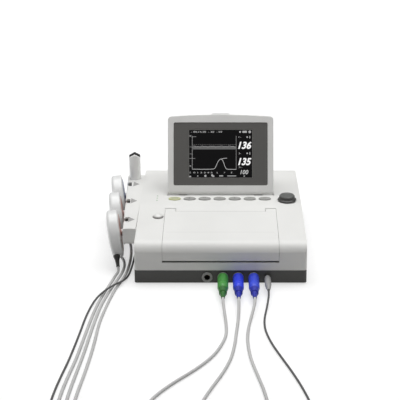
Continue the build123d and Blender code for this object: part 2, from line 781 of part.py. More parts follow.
def make_marker_button():
    """The black thumb bar across the marker's top, on a round stem."""
    bar = rod(0, 0, marker_foot, marker_top, marker_radius - 0.2) & gable(marker_top, marker_bar / 2)
    bar = bar - gable(marker_top - marker_bar_thick, marker_bar)
    bar = bar + rod(0, 0, marker_top - 20, marker_top - marker_bar_thick, marker_stem)
    return holder_place * Pos(marker_x, marker_along, 0) * bar


# Sockets and plugs
def make_sockets():
    """Round sockets with a raised ring, and the small jack, along the front band."""
    pieces = []
    for x in socket_x:
        shell = rod_y(x, front_y, front_y + 20, socket_z, socket_barrel)
        shell = shell + rod_y(x, front_y - ring_out, front_y, socket_z, socket_ring)
        shell = chamfer(shell.edges().filter_by(GeomType.CIRCLE).group_by(Axis.Y)[0], 0.8)
        shell = shell - rod_y(x, front_y - ring_out - 1, front_y + 12, socket_z, socket_bore)
        pieces.append(shell)
    jack = rod_y(jack_x, front_y, front_y + 14, socket_z, jack_barrel)
    jack = jack + rod_y(jack_x, front_y - 1, front_y, socket_z, 5.6)
    pieces.append(jack - rod_y(jack_x, front_y - 2, front_y + 10, socket_z, jack_bore + seat_gap))
    return pieces


def make_plug(x):
    """A round lead plug: nose in the socket, ribbed grip, collar and tapered boot."""
    start = -(front_y - ring_out)
    nose = [(0, start - nose_reach), (socket_bore - seat_gap, start - nose_reach),
            (socket_bore - seat_gap, start)]
    points = nose + [(plug_radius - 0.9, start), (plug_radius, start + 1)]
    for k in range(6):
        s = start + 8 + k * 4.2
        points += [(plug_radius, s), (plug_radius - 0.7, s + 0.7), (plug_radius - 0.7, s + 1.7),
                   (plug_radius, s + 2.4)]
    s = start + plug_body
    points += [(plug_radius, s - 6), (plug_radius - 1.6, s), (plug_radius - 2.6, s + plug_collar - 1),
               (plug_radius - 4.0, s + plug_collar)]
    s += plug_collar
    points += [(4.6, s + 0.8), (3.2, s + plug_boot), (0, s + plug_boot)]
    body = revolve(Plane.XZ * make_face(Polyline(*points, close=True)), Axis.Z)
    return Pos(x, 0, socket_z) * Rot(90, 0, 0) * body


def make_jack():
    start = -(front_y - 1)
    points = [(0, start - nose_reach), (jack_bore, start - nose_reach), (jack_bore, start), (4.2, start),
              (4.2, start + 5),
              (5.5, start + 6), (5.5, start + 30), (4.4, start + 40), (2.4, start + 50), (0, start + 50)]
    body = revolve(Plane.XZ * make_face(Polyline(*points, close=True)), Axis.Z)
    return Pos(jack_x, 0, socket_z) * Rot(90, 0, 0) * body


# Inside pieces and the underside
def make_feet():
    feet = []
    for x, y in foot_places:
        foot = rod(x, y, 0, foot_height + foot_seat, foot_radius)
        feet.append(fillet(foot.edges().group_by(Axis.Z)[0], 0.8))
    return feet


def make_screws():
    screws = []
    for x, y in screw_places:
        head = rod(x, y, foot_height + 0.3, foot_height + 3.15, screw_head)
        head = head - block(x - 3, x + 3, y - 0.5, y + 0.5, 0, screw_slot)
        head = head - block(x - 0.5, x + 0.5, y - 3, y + 3, 0, screw_slot)
        screws.append(head + rod(x, y, foot_height + 3, band_height - 1, screw_radius))
    return screws


def make_battery():
    bx, by, bz = battery_size
    z = foot_height + 0.1 + cover_thick
    pack = block(battery_x - bx / 2, battery_x + bx / 2, battery_y - by / 2, battery_y + by / 2, z, z + bz)
    return fillet(pack.edges().filter_by(Axis.Y), 4.0)


def make_battery_cover():
    bx, by, bz = battery_size
    x, y = bx / 2 + cover_grow, by / 2 + cover_grow
    z = foot_height + 0.1
    cover = block(battery_x - x, battery_x + x, battery_y - y, battery_y + y, z, z + cover_thick)
    for k in range(5):
        cover = cover - block(battery_x - 14, battery_x + 14, battery_y - y + 8 + 3 * k - 0.7,
                              battery_y - y + 8 + 3 * k + 0.7, 0, z + 0.7)
    return cover


def make_main_board():
    """The circuit board with its parts, and the network jack that stands on its rear edge."""
    board = block(-78, half_width - 20, board_front, rear_y - case_wall - 1, board_z, port_z)
    z = port_z
    jack = block(port_x - 8, port_x + 8, rear_y - 20, rear_y - 0.4, z, z + 13.4)
    jack = jack - block(port_x - 5.9, port_x + 5.9, rear_y - 14, rear_y, z + 2.6, z + 10.6)
    for x, y, dx, dy, dz in ((0, 60, 17, 17, 2.2), (-40, 50, 12, 12, 1.8), (40, 30, 10, 22, 1.6),
                             (90, 60, 15, 15, 2.0), (-50, 110, 20, 30, 8.0), (20, 120, 30, 8, 9.0),
                             (100, 120, 12, 34, 7.0)):
        board = board + block(x - dx, x + dx, y - dy, y + dy, z - 0.5, z + dz)
    for x, y in screw_places:
        board = board - rod(x, y, board_z - 1, z + 20, 6.5)
    return [board, jack]


def make_power_supply():
    low, high = rear_y - 151.5, rear_y - 43.5
    case = block(12 - half_width, 64 - half_width, low, high, foot_height + case_wall, 46)
    for k in range(9):
        y = low + 10 * (k + 1)
        case = case - block(18 - half_width, 58 - half_width, y, y + 3, 44.8, 47)
    return case


def make_speaker():
    z = foot_height + case_wall
    profile = Polyline((0, z), (speaker_radius, z), (speaker_radius, z + 3), (speaker_radius * 0.55, z + 9),
                       (speaker_radius * 0.55, z + 15), (0, z + 15), close=True)
    return Pos(speaker_x, speaker_y, 0) * revolve(Plane.XZ * make_face(profile), Axis.Z)


def make_mains_inlet():
    face = Pos(inlet_x, rear_y - 0.35, inlet_z) * Rot(90, 0, 0) * extrude(RectangleRounded(31, 23.5, 3), -1.8)
    body = block(inlet_x - 13.6, inlet_x + 13.6, rear_y - 24, rear_y, inlet_z - 9.8, inlet_z + 9.8)
    inlet = body + face
    inlet = inlet - block(inlet_x - 11.5, inlet_x + 11.5, rear_y - 15, rear_y + 4, inlet_z - 7.5, inlet_z + 7.5)
    for dx, dz in ((-7, -2.5), (7, -2.5), (0, 2.5)):
        inlet = inlet + block(inlet_x + dx - 1, inlet_x + dx + 1, rear_y - 16, rear_y - 3, inlet_z + dz - 2,
                              inlet_z + dz + 2)
    return inlet


def make_ground_terminal():
    stud = rod_y(ground_x, rear_y - 8, rear_y + 13, inlet_z, 3.0)
    stud = chamfer(stud.edges().group_by(Axis.Y)[-1], 0.6)
    nut = Pos(ground_x, rear_y + 1.8, inlet_z) * Rot(90, 0, 0) * extrude(RegularPolygon(5.6, 6), 1.8)
    return stud + nut


# Cords: points chosen by hand, from the exit on, with the height of the cord's middle
coil_centres = [(-142.0, -603.0), (-66.0, -615.0), (34.0, -627.0)]
jack_coil_centre = (106.0, -632.0)


def bend_radii(points):
    """The largest arcs that the runs allow, one for each corner of a route."""
    radii = []
    for before, corner, after in zip(points, points[1:], points[2:]):
        a, b = Vector(*corner) - Vector(*before), Vector(*after) - Vector(*corner)
        half = radians(a.get_angle(b)) / 2
        radii.append(0.45 * min(a.length, b.length) / tan(half))
    return radii


def tube(points, diameter, name):
    """A round cord along straight runs joined by tangent arcs."""
    radii = bend_radii(points)
    print(name, "least bend radius", round(min(radii), 1), "in diameters", round(min(radii) / diameter, 1))
    path = FilletPolyline(*points, radius=radii)
    heading = Vector(*points[1]) - Vector(*points[0])
    section = Plane(origin=points[0], z_dir=heading) * Circle(diameter / 2)
    solid = sweep(section, path=path)
    share = solid.volume / (pi * diameter ** 2 / 4 * path.length)
    print(name, "length", round(path.length, 1), "volume over section times length", round(share, 4))
    return solid


def coil_walk(start, diameter, radius, quarters):
    """A two-layer spiral as quarter turns: in along the table, up a layer, and out again."""
    pitch = diameter + coil_step
    place, along, inward = Vector(*start), Vector(0, -1, 0), Vector(-1, 0, 0)
    edges = [Line(place, place + along * diameter)]
    place = place + along * diameter
    lean = pitch / (2 * (radius - quarters * pitch / 4))
    for k in range(2 * quarters + 3):
        if k < quarters:
            turn = radius - k * pitch / 4
        elif k < quarters + 2:
            turn = radius - quarters * pitch / 4
        else:
            turn = radius - (2 * quarters + 2 - k) * pitch / 4
        if k == quarters:
            inward = (inward * (1 - lean ** 2) ** 0.5 + Vector(0, 0, 1) * lean)
        middle = place + along * (turn * sin(pi / 4)) + inward * (turn * (1 - cos(pi / 4)))
        end = place + along * turn + inward * turn
        edges.append(ThreePointArc(place, middle, end))
        place, along, inward = end, inward, along * -1
        if k == quarters + 1:
            inward = Vector(inward.X, inward.Y, 0).normalized()
    edges.append(Line(place, place + along * diameter))
    return edges, place + along * diameter


def least_gap(edges, diameter):
    """Least clear distance of the wound tube to itself, from points along its middle line."""
    spots, run = [], 0.0
    for edge in edges:
        steps = 12
        for i in range(steps):
            spots.append((run + edge.length * i / steps, edge.position_at(i / steps)))
        run += edge.length
    least = 1e9
    for i, (s, p) in enumerate(spots):
        for t, q in spots[i + 1:]:
            if t - s > 4 * diameter:
                least = min(least, (p - q).length)
    return least - diameter


def make_coil(start, diameter, radius, quarters, name):
    edges, end = coil_walk(start, diameter, radius, quarters)
    gap = least_gap(edges, diameter)
    length = sum(edge.length for edge in edges)
    print(name, "turns", (2 * quarters + 3) / 4, "length", round(length, 1), "least gap", round(gap, 2),
          "end", [round(v, 2) for v in end])
    section = Plane(origin=start, z_dir=(0, -1, 0)) * Circle(diameter / 2)
    return sweep(section, path=Wire(edges)), end


def disc_tip(i):
    """Where a transducer's boot ends, and the way that its cord leaves."""
    middle = disc_back - (cover_depth + disc_thick) / 2
    reach = disc_radius - 4 + boot_length
    down = radians(boot_angle)
    tip = disc_place(i) * Pos(middle, -reach * cos(down), -reach * sin(down))
    ahead = disc_place(i) * Pos(middle, -(reach + 10) * cos(down), -(reach + 10) * sin(down))
    return tip.position, (ahead.position - tip.position).normalized()


plug_end = front_y - ring_out - plug_body - plug_collar - plug_boot
lead_routes = [
    [(3.9, -270, 12.8), (5.4, -288, 9.6), (7.6, -309, 4.2), (9.0, -332, lie), (9.4, -358, lie),
     (5.0, -385, lie), (-9.0, -428, lie), (-36.0, -470, lie), (-70.0, -510, lie), (-97.0, -551, lie),
     (-108.0, -585, lie)],
    [(30.0, -270, 12.8), (29.8, -288, 9.6), (28.8, -309, 4.2), (27.0, -332, lie), (24.6, -360, lie),
     (22.6, -388, lie), (17.0, -434, lie), (4.0, -480, lie), (-14.0, -525, lie), (-28.6, -568, lie),
     (-32.0, -598, lie)],
    [(56.6, -270, 12.8), (53.6, -288, 9.6), (49.2, -309, 4.2), (45.2, -332, lie), (42.4, -360, lie),
     (41.6, -392, lie), (45.4, -440, lie), (54.0, -486, lie), (62.4, -530, lie), (67.4, -576, lie),
     (68.0, -610, lie)],
]
jack_end = front_y - 1 - 50
jack_route = [(80.3, -240, 12.8), (78.6, -257, 9.4), (75.2, -277, 3.4), (71.6, -299, jack_lie),
              (69.8, -322, jack_lie),
              (70.6, -350, jack_lie), (79.0, -392, jack_lie), (92.0, -434, jack_lie), (106.0, -478, jack_lie),
              (118.4, -524, jack_lie), (128.0, -572, jack_lie), (131.0, -612, jack_lie)]
low_routes = [
    [(-176, -641.4, 4.4), (-193, -629, lie), (-203, -604, lie), (-205.4, -570, lie), (-203, -528, lie),
     (-199, -480, lie), (-196, -430, lie), (-194.2, -380, lie), (-194, -330, lie), (-190, -284, lie),
     (-184.6, -240, lie), (-178.4, -200, lie)],
    [(-103, -656.8, 4.4), (-128, -658.6, lie), (-158, -658.4, lie), (-186, -651.6, lie), (-207, -631, lie),
     (-215, -600, lie), (-216.6, -560, lie), (-214, -512, lie), (-210, -462, lie), (-206.4, -412, lie),
     (-204, -362, lie), (-201, -312, lie), (-197, -264, lie), (-190, -222, lie), (-184, -190, lie)],
    [(-4, -668.8, 4.4), (-33, -670.6, lie), (-76, -671, lie), (-124, -670.4, lie), (-168, -667.4, lie),
     (-204, -654, lie), (-222, -630, lie), (-228, -592, lie), (-227, -544, lie), (-223, -494, lie),
     (-217, -444, lie), (-213.6, -394, lie), (-210.4, -344, lie), (-207, -296, lie), (-202, -250, lie),
     (-194.6, -207, lie), (-187.4, -172, lie)],
]
upper_routes = [
    [(-170.6, -170, lie), (-164.4, -138, lie), (-162.0, -104, lie), (-161.8, -66, lie), (-164.0, -32, lie),
     (-169.0, -2, lie), (-178.6, 14, lie), (-186.6, 29.5, lie)],
    [(-177.6, -163, lie), (-171.8, -136, lie), (-170.0, -108, lie), (-173.4, -84, lie), (-180.4, -68, lie),
     (-184.4, -56.5, lie)],
    [(-184.8, -158, lie), (-182.6, -145, lie)],
]
marker_route = [(66, -664, jack_lie), (24, -674, jack_lie), (-28, -679, jack_lie), (-80, -680, jack_lie),
                (-132, -679, jack_lie), (-178, -675, jack_lie), (-214, -662, jack_lie),
                (-233, -634, jack_lie), (-239, -592, jack_lie), (-238, -544, jack_lie),
                (-233.8, -496, jack_lie), (-228, -448, jack_lie), (-224, -400, jack_lie),
                (-220.6, -352, jack_lie), (-218, -306, jack_lie), (-214, -270, jack_lie),
                (-207.6, -246, 5.6), (-196, -226, 10.4), (-179, -199, 10.4), (-168, -177, 5.6),
                (-161.0, -152, jack_lie), (-157.4, -118, jack_lie), (-155.8, -80, jack_lie),
                (-155.0, -40, jack_lie), (-155.6, 0, jack_lie), (-157.4, 38, jack_lie),
                (-160.4, 72, jack_lie), (-163.4, 98, jack_lie), (-164.8, 114.6, jack_lie)]
marker_end = holder_place * Pos(marker_x, marker_along, marker_foot - marker_boot)


def make_cord(k):
    """A transducer's cord: its lead from the plug, its coil, and its run up to the boot."""
    cx, cy = coil_centres[k]
    start = (cx + coil_radius, cy, lie)
    lead = [(socket_x[k + 1], plug_end, socket_z)] + lead_routes[k] + [start]
    coil, end = make_coil(start, cord_diameter, coil_radius, coil_quarters, "coil " + str(k + 1))
    tip, heading = disc_tip(2 - k)
    level = end + Vector(-12, 0, 0)
    run = [tuple(end), tuple(level)] + low_routes[k] + upper_routes[k]
    run += [tuple(tip + heading * boot_lead), tuple(tip)]
    print("cord", k + 1, "tail starts", [tuple(round(v, 2) for v in point) for point in run[:2] + run[-2:]])
    parts = [tube(lead, cord_diameter, "lead " + str(k + 1)), tube(run, cord_diameter, "tail " + str(k + 1))]
    return parts, coil


def make_marker_cord():
    cx, cy = jack_coil_centre
    start = (cx + jack_coil_radius, cy, jack_lie)
    lead = [(jack_x, jack_end, socket_z)] + jack_route + [start]
    coil, end = make_coil(start, jack_cord_diameter, jack_coil_radius, jack_coil_quarters, "marker coil")
    level = end + Vector(-10, 0, 0)
    foot = marker_end.position
    run = [tuple(end), tuple(level)] + marker_route + [tuple(foot - Vector(0, 0, 10.5)), tuple(foot)]
    print("marker tail starts", [tuple(round(v, 2) for v in point) for point in run[:2] + run[-1:]])
    parts = [tube(lead, jack_cord_diameter, "marker lead"), tube(run, jack_cord_diameter, "marker tail")]
    return parts, coil


def save(name, piece):
    """Writes one named piece; several like solids of one kind share a file."""
    shape = Compound(children=piece) if isinstance(piece, list) else piece
    export_step(shape, "parts/" + name + ".step")


save("bottom_case", make_bottom_case())
save("top_case", make_top_case())
save("printer_bay", make_printer_bay())
save("rubber_feet", make_feet())
save("case_screws", make_screws())
save("battery_pack", make_battery())
save("battery_cover", make_battery_cover())
save("main_board", make_main_board())
save("power_supply", make_power_supply())
save("speaker", make_speaker())
save("mains_inlet", make_mains_inlet())
save("ground_terminal", make_ground_terminal())
save("front_sockets", make_sockets())
save("key_board", make_key_board())
save("knob_encoder", make_encoder())
save("print_head", make_print_head())
save("stepper_motor", make_motor())
save("motor_pinion", make_pinion())
save("indicator_lenses", make_lenses())
save("transducer_holder", make_holder())
save("hinge_brackets", make_hinge_brackets())

save("hinge_pins", make_hinge_pins())
save("screen_frame", make_screen_frame())
save("screen_back", make_screen_back())
save("screen_faceplate", make_faceplate())
save("display_module", make_display())

save("drawer_cover", make_drawer_cover())
save("drawer_tray", make_drawer_tray())
save("paper_pack", make_paper_pack())
save("platen_roller", make_platen())

for i, x in enumerate(key_places):
    save("key_" + str(i + 1), make_key(x))
save("power_button", make_power_button())
save("knob_shaft", make_knob_shaft())
save("knob", make_knob())

save("event_marker", make_marker())
save("marker_button", make_marker_button())
for i, place in enumerate(("front", "middle", "rear")):
    save("transducer_" + place + "_shell", make_disc_shell(i))
    save("transducer_" + place + "_cover", make_disc_cover(i))

for k, place in enumerate(("rear", "middle", "front")):
    save("plug_" + place, make_plug(socket_x[k + 1]))
    runs, wound = make_cord(k)
    save("cord_" + place, runs)
    save("coil_" + place, wound)
save("plug_marker", make_jack())
runs, wound = make_marker_cord()
save("cord_marker", runs)
save("coil_marker", wound)
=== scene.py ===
# %% [markdown]
# # A fetal monitor and its finishes
#
# The object is a desk-top fetal monitor: a white moulded case on a dark band, a screen that folds
# up out of a recess, a chart drawer, keys, a knob, and three belt transducers in a holder on the
# side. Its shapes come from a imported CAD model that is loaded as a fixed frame. This notebook adds
# what CAD leaves out: the camera, the light, the finishes, the picture on the screen, the cords
# and the small fittings.

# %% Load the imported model
import math

import bpy
from mathutils import Matrix, Vector


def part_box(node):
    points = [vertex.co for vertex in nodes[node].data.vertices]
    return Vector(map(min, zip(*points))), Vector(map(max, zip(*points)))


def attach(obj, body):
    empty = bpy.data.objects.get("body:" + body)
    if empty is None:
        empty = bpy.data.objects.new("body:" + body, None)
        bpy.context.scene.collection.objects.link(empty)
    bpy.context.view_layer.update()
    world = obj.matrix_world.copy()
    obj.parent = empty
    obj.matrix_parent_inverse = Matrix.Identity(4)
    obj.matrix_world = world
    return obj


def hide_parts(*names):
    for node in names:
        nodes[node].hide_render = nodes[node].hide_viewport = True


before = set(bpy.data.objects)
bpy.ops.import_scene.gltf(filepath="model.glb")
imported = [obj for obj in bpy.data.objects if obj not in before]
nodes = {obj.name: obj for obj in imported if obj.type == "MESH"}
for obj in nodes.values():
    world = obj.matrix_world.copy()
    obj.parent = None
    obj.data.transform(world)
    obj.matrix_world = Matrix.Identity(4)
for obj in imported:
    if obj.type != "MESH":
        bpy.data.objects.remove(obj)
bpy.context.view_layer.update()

# %% [markdown]
# ## Camera
#
# The photograph was taken from in front and above, by about 23 degrees, with a long lens, so the
# case's sides run nearly parallel. The picture was cropped, so the lens's axis isn't in its
# middle. A small shift of the lens puts it back without turning the camera.

# %% Set the camera
look_down = math.radians(22.8)
camera_data = bpy.data.cameras.new("camera")
camera_data.lens = 100.3
camera_data.sensor_width = 36.0
camera_data.shift_x = -0.0515
camera_data.shift_y = 0.06
camera = bpy.data.objects.new("camera", camera_data)
camera.location = (0.0, -1.9022, 0.8372)
camera.rotation_euler = (math.pi / 2 - look_down, 0.0, 0.0)
bpy.context.scene.collection.objects.link(camera)
bpy.context.scene.camera = camera
print("camera looks down by", round(math.degrees(look_down), 1), "degrees")

# %% [markdown]
# ## Writing shader maths as plain expressions
#
# A finish is a small sum: take the place on the piece, make a mask from it, mix two colours by
# the mask. Nodes can be added one by one, but the sum is then hard to read. A small class that
# stands for one value in the shader lets the sum be written as a formula, and each sign adds the
# Math node that it stands for.


# %% Helpers for finishes
class Value:
    """One value in a finish's nodes, so that sums on it read as sums."""

    def __init__(self, finish, socket):
        self.finish = finish
        self.socket = socket

    def sum(self, operation, other, swap=False):
        first, second = (other, self) if swap else (self, other)
        return self.finish.node("ShaderNodeMath", {"operation": operation}, {0: first, 1: second})

    def __add__(self, other):
        return self.sum("ADD", other)

    def __sub__(self, other):
        return self.sum("SUBTRACT", other)

    def __rsub__(self, other):
        return self.sum("SUBTRACT", other, True)

    def __mul__(self, other):
        return self.sum("MULTIPLY", other)

    def __lt__(self, other):
        return self.sum("LESS_THAN", other)

    def __gt__(self, other):
        return self.sum("GREATER_THAN", other)

    def __abs__(self):
        return self.finish.node("ShaderNodeMath", {"operation": "ABSOLUTE"}, {0: self})

    def root(self):
        return self.finish.node("ShaderNodeMath", {"operation": "SQRT"}, {0: self})

    def least(self, other):
        return self.sum("MINIMUM", other)

    def most(self, other):
        return self.sum("MAXIMUM", other)

    def fraction(self):
        return self.finish.node("ShaderNodeMath", {"operation": "FRACT"}, {0: self})


class Finish:
    """A material that is built up from places, patterns and colours."""

    def __init__(self, name, colour, roughness=0.5, metallic=0.0):
        self.material = bpy.data.materials.new(name)
        self.material.use_nodes = True
        self.material.diffuse_color = (*colour, 1.0)
        self.tree = self.material.node_tree
        self.shader = self.tree.nodes["Principled BSDF"]
        self.set("Base Color", (*colour, 1.0))
        self.set("Roughness", roughness)
        self.set("Metallic", metallic)
        self.place = self.node("ShaderNodeTexCoord", output="Object")

    def feed(self, socket, value):
        if isinstance(value, Value):
            self.tree.links.new(value.socket, socket)
        else:
            socket.default_value = value

    def node(self, kind, settings=None, inputs=None, output=0):
        made = self.tree.nodes.new(kind)
        for key, value in (settings or {}).items():
            setattr(made, key, value)
        for key, value in (inputs or {}).items():
            self.feed(made.inputs[key], value)
        return Value(self, made.outputs[output])

    def set(self, name, value):
        self.feed(self.shader.inputs[name], value)

    def axes(self):
        parts = self.tree.nodes.new("ShaderNodeSeparateXYZ")
        self.tree.links.new(self.place.socket, parts.inputs[0])
        return [Value(self, parts.outputs[i]) for i in range(3)]

    def noise(self, scale, detail=3.0, rough=0.5, stretch=None):
        where = self.place
        if stretch:
            where = self.node("ShaderNodeMapping", {}, {"Vector": self.place, "Scale": stretch})
        return self.node("ShaderNodeTexNoise", {},
                         {"Vector": where, "Scale": scale, "Detail": detail, "Roughness": rough})

    def mix(self, factor, first, second):
        return self.node("ShaderNodeMix", {"data_type": "RGBA"}, {0: factor, 6: first, 7: second}, 2)

    def between(self, value, low, high):
        """0 below low, 1 above high, and a straight ramp from one to the other."""
        return self.node("ShaderNodeMapRange", {},
                         {"Value": value, "From Min": low, "From Max": high})

    def bump(self, height, depth, strength=1.0):
        self.set("Normal", self.node("ShaderNodeBump", {},
                                     {"Height": height, "Distance": depth, "Strength": strength}))


def shade(colour, factor):
    """The same colour, lighter or darker."""
    return (*[min(1.0, v * factor) for v in colour[:3]], 1.0)


def apart(first, second):
    """How long the way is that goes this far along one axis and that far along another."""
    return (first * first + second * second).root()


print("finish helpers ready")

# %% [markdown]
# ## Moulded plastic
#
# Nearly all that shows is injection-moulded plastic. A mould is spark-eroded to a fine grain,
# which keeps large white faces from shining like glass, and the plastic takes a slightly uneven
# tone with use. So a plastic finish here has a grain about a third of a millimetre wide in its
# bump, a little change in roughness, and a faint drift of tone over the piece.


# %% Moulded plastic
def moulded(name, colour, roughness=0.45, grain=1.0, drift=0.03, coat=0.0):
    """A moulded plastic or rubber, with its grain and its drift of tone."""
    finish = Finish(name, colour, roughness)
    cloud = finish.noise(9.0, 2.0)
    finish.tone = finish.mix(finish.between(cloud, 0.3, 0.7),
                             shade(colour, 1 - drift), shade(colour, 1 + drift))
    finish.set("Base Color", finish.tone)
    fine = finish.noise(2600.0, 2.0, 0.6)
    finish.set("Roughness", finish.between(fine, 0.0, 1.0) * 0.12 + (roughness - 0.06))
    finish.bump(fine, 0.00004 * grain, 0.6)
    finish.set("Coat Weight", coat)
    return finish


def dress(finish, *names):
    """Gives the finish to these CAD pieces."""
    for name in names:
        data = nodes[name].data
        data.materials.clear()
        data.materials.append(finish.material)


case_white = moulded("case_white_plastic", (0.83, 0.83, 0.81), 0.42)
dress(case_white, "top_case", "screen_back")
case_dark = moulded("case_dark_plastic", (0.062, 0.062, 0.058), 0.5, 1.3, 0.08)
dress(case_dark, "bottom_case", "battery_cover")
bezel_white = moulded("bezel_white_plastic", (0.84, 0.84, 0.825), 0.36)
dress(bezel_white, "screen_frame", "hinge_brackets")
inner_grey = moulded("inner_grey_plastic", (0.40, 0.40, 0.39), 0.55)
dress(inner_grey, "printer_bay", "drawer_tray")
black_plastic = moulded("black_plastic", (0.022, 0.022, 0.022), 0.42)
dress(black_plastic, "knob_encoder")
print("plastic finishes:", len(bpy.data.materials))

# %% [markdown]
# ## The holder and its grey arrows
#
# The transducer holder is a white moulding that hangs on the case's left side. Three grey arrows
# show on its top, one beside each transducer, and point at the case. The finish paints them flat:
# inside a triangle the distance from its middle line is less than a share of the distance from its
# tip.

# %% Holder
arrow_tips = ((-0.1545, 0.0910), (-0.1530, 0.0045), (-0.1515, -0.0850))
arrow_slope = 1.05
arrow_length = 0.0120
holder_top = 0.0812
holder_white = moulded("holder_white_plastic", (0.84, 0.84, 0.82), 0.4)
across, along, up = holder_white.axes()
arrow_grey = None
for tip_x, tip_y in arrow_tips:
    side = (tip_x - across) * arrow_slope
    arrow = (abs(along - tip_y) < side) * (across > tip_x - arrow_length)
    arrow_grey = arrow if arrow_grey is None else arrow_grey.most(arrow)
arrow_grey = arrow_grey * (up > holder_top)
holder_white.set("Base Color", holder_white.mix(arrow_grey, holder_white.tone, (0.40, 0.395, 0.39, 1.0)))
dress(holder_white, "transducer_holder")
print("arrows on the holder:", len(arrow_tips))

# %% [markdown]
# ## The drawer's cover
#
# The drawer's cover is one moulding with the case's colour. A faint line runs across it, where its
# sloping top meets its curved front, and the finish paints it as shade: a slightly darker tone in
# a strip under a millimetre and a half wide. The cover's rear edge is one side of the slot that the
# chart comes out of, and the finish paints it in shade there.

# %% Drawer cover
shade_line_y, shade_line_reach = -0.1280, 0.0935
exit_y, exit_z, exit_reach = -0.0490, 0.0790, 0.0812
shaded_white = (0.40, 0.40, 0.39, 1.0)
cover_white = moulded("cover_white_plastic", (0.83, 0.83, 0.81), 0.42)
across, along, up = cover_white.axes()
# Painted shade: a darker strip where the top meets the curved front, and along the rear edge at the chart's
# slot.
line_shade = cover_white.between(abs(along - shade_line_y), 0.0007, 0.0002)
line_shade = line_shade * (abs(across) < shade_line_reach) * 0.35
exit_edge_shade = (along > exit_y) * (abs(across) < exit_reach) * (up > exit_z) * 0.6
darker = line_shade.most(exit_edge_shade)
cover_white.set("Base Color", cover_white.mix(darker, cover_white.tone, shaded_white))
dress(cover_white, "drawer_cover")
print("drawer cover dressed")

# %% [markdown]
# ## Keys, buttons and knob
#
# The first key is a pale yellow-green with a darker middle, as the one that starts and stops the
# chart often is. The others are mid grey and have a plain sign each: a bar, a cross or a ring.
# The signs are printed, so they are masks on the keys' tops. The power button's front edge, where
# it drops below the case's top, is painted darker as shade. The knob is dark and satin, and its top
# is painted lighter as a highlight.

# %% Keys
key_pitch = 0.02765
middle_key_x = -0.0017
key_row_y = 0.006
key_top = 0.0862
key_green = moulded("key_green_plastic", (0.56, 0.58, 0.32), 0.4, 0.6)
across, along, up = key_green.axes()
first_key_x = middle_key_x - 3 * key_pitch
middle = (abs(across - first_key_x) < 0.0066) * (abs(along - key_row_y) < 0.0030) * (up > key_top)
key_green.set("Base Color", key_green.mix(middle, key_green.tone, (0.38, 0.40, 0.30, 1.0)))
dress(key_green, "key_1")
key_grey = moulded("key_grey_plastic", (0.35, 0.35, 0.335), 0.4, 0.6)
across, along, up = key_grey.axes()
legend = None
for i in range(1, 7):
    away = abs(across - middle_key_x - (i - 3) * key_pitch)
    near = abs(along - key_row_y)
    if i % 3 == 0:
        mark = (away < 0.0028) * (near < 0.0006)
    elif i % 3 == 1:
        mark = (away < 0.0006).most(near < 0.0006) * (away < 0.0026) * (near < 0.0026)
    else:
        from_middle = apart(away, near)
        mark = (from_middle < 0.0024) * (from_middle > 0.0017)
    legend = mark if legend is None else legend.most(mark)
legend = legend * (up > key_top)
key_grey.set("Base Color", key_grey.mix(legend, key_grey.tone, (0.12, 0.12, 0.115, 1.0)))
dress(key_grey, *["key_%d" % i for i in range(2, 8)])
print("keys dressed: 7")

# %% Power button, knob and marker
button_x, button_y = -0.1112, -0.0685
button_white = moulded("button_white_plastic", (0.84, 0.84, 0.82), 0.3, 0.4, coat=0.2)
across, along, up = button_white.axes()
# Painted shade: the button's front edge, where it drops below the case's top, is painted dark.
rim_shade = button_white.between(apart(across - button_x, along - button_y), 0.0070, 0.0090)
rim_shade = rim_shade * button_white.between(along, button_y + 0.0025, button_y - 0.0037)
button_white.set("Base Color", button_white.mix(rim_shade * 0.9, button_white.tone, (0.20, 0.19, 0.18, 1.0)))
dress(button_white, "power_button")
knob_dark = moulded("knob_dark_plastic", (0.055, 0.055, 0.053), 0.34, 1.2, 0.1)
# Painted highlight: the knob's top is painted lighter than its dark sides.
knob_top_highlight = knob_dark.between(knob_dark.axes()[2], 0.0938, 0.0946)
knob_dark.set("Base Color", knob_dark.mix(knob_top_highlight, knob_dark.tone, (0.135, 0.140, 0.135, 1.0)))
dress(knob_dark, "knob")
marker_white = moulded("marker_white_plastic", (0.92, 0.92, 0.905), 0.30, 0.4, coat=0.3)
dress(marker_white, "event_marker")
marker_black = moulded("marker_black_plastic", (0.02, 0.02, 0.02), 0.4)
dress(marker_black, "marker_button")
print("button, knob and marker dressed")

# %% [markdown]
# ## Transducers
#
# A belt transducer is a glossy white drum with a coloured back, and its cord leaves through a
# black rubber boot that is moulded on to the drum. The drum and the boot are one solid here. Each
# finish works out how far a point is from the drum's axis, and turns black beyond the drum's
# radius. The back cover is coloured on its flat back, and white on its bevel and belt button.

# %% Transducers
drum_axis = (0.98781, 0.09686, 0.12187)
drum_centres = {"front": (-0.17161, -0.08503, 0.058), "middle": (-0.17499, 0.00290, 0.058),
                "rear": (-0.17837, 0.09084, 0.058)}
back_colours = {"front": (0.50, 0.27, 0.23), "middle": (0.55, 0.31, 0.27), "rear": (0.10, 0.14, 0.30)}
drum_edge = 0.0421
flat_back = -0.0050


def from_axis(finish, centre):
    """How far along the drum's axis a point is, and how far from it."""
    away = [axis - middle for axis, middle in zip(finish.axes(), centre)]
    along = away[0] * drum_axis[0] + away[1] * drum_axis[1] + away[2] * drum_axis[2]
    square = away[0] * away[0] + away[1] * away[1] + away[2] * away[2]
    return along, (square - along * along).most(0.0).root()


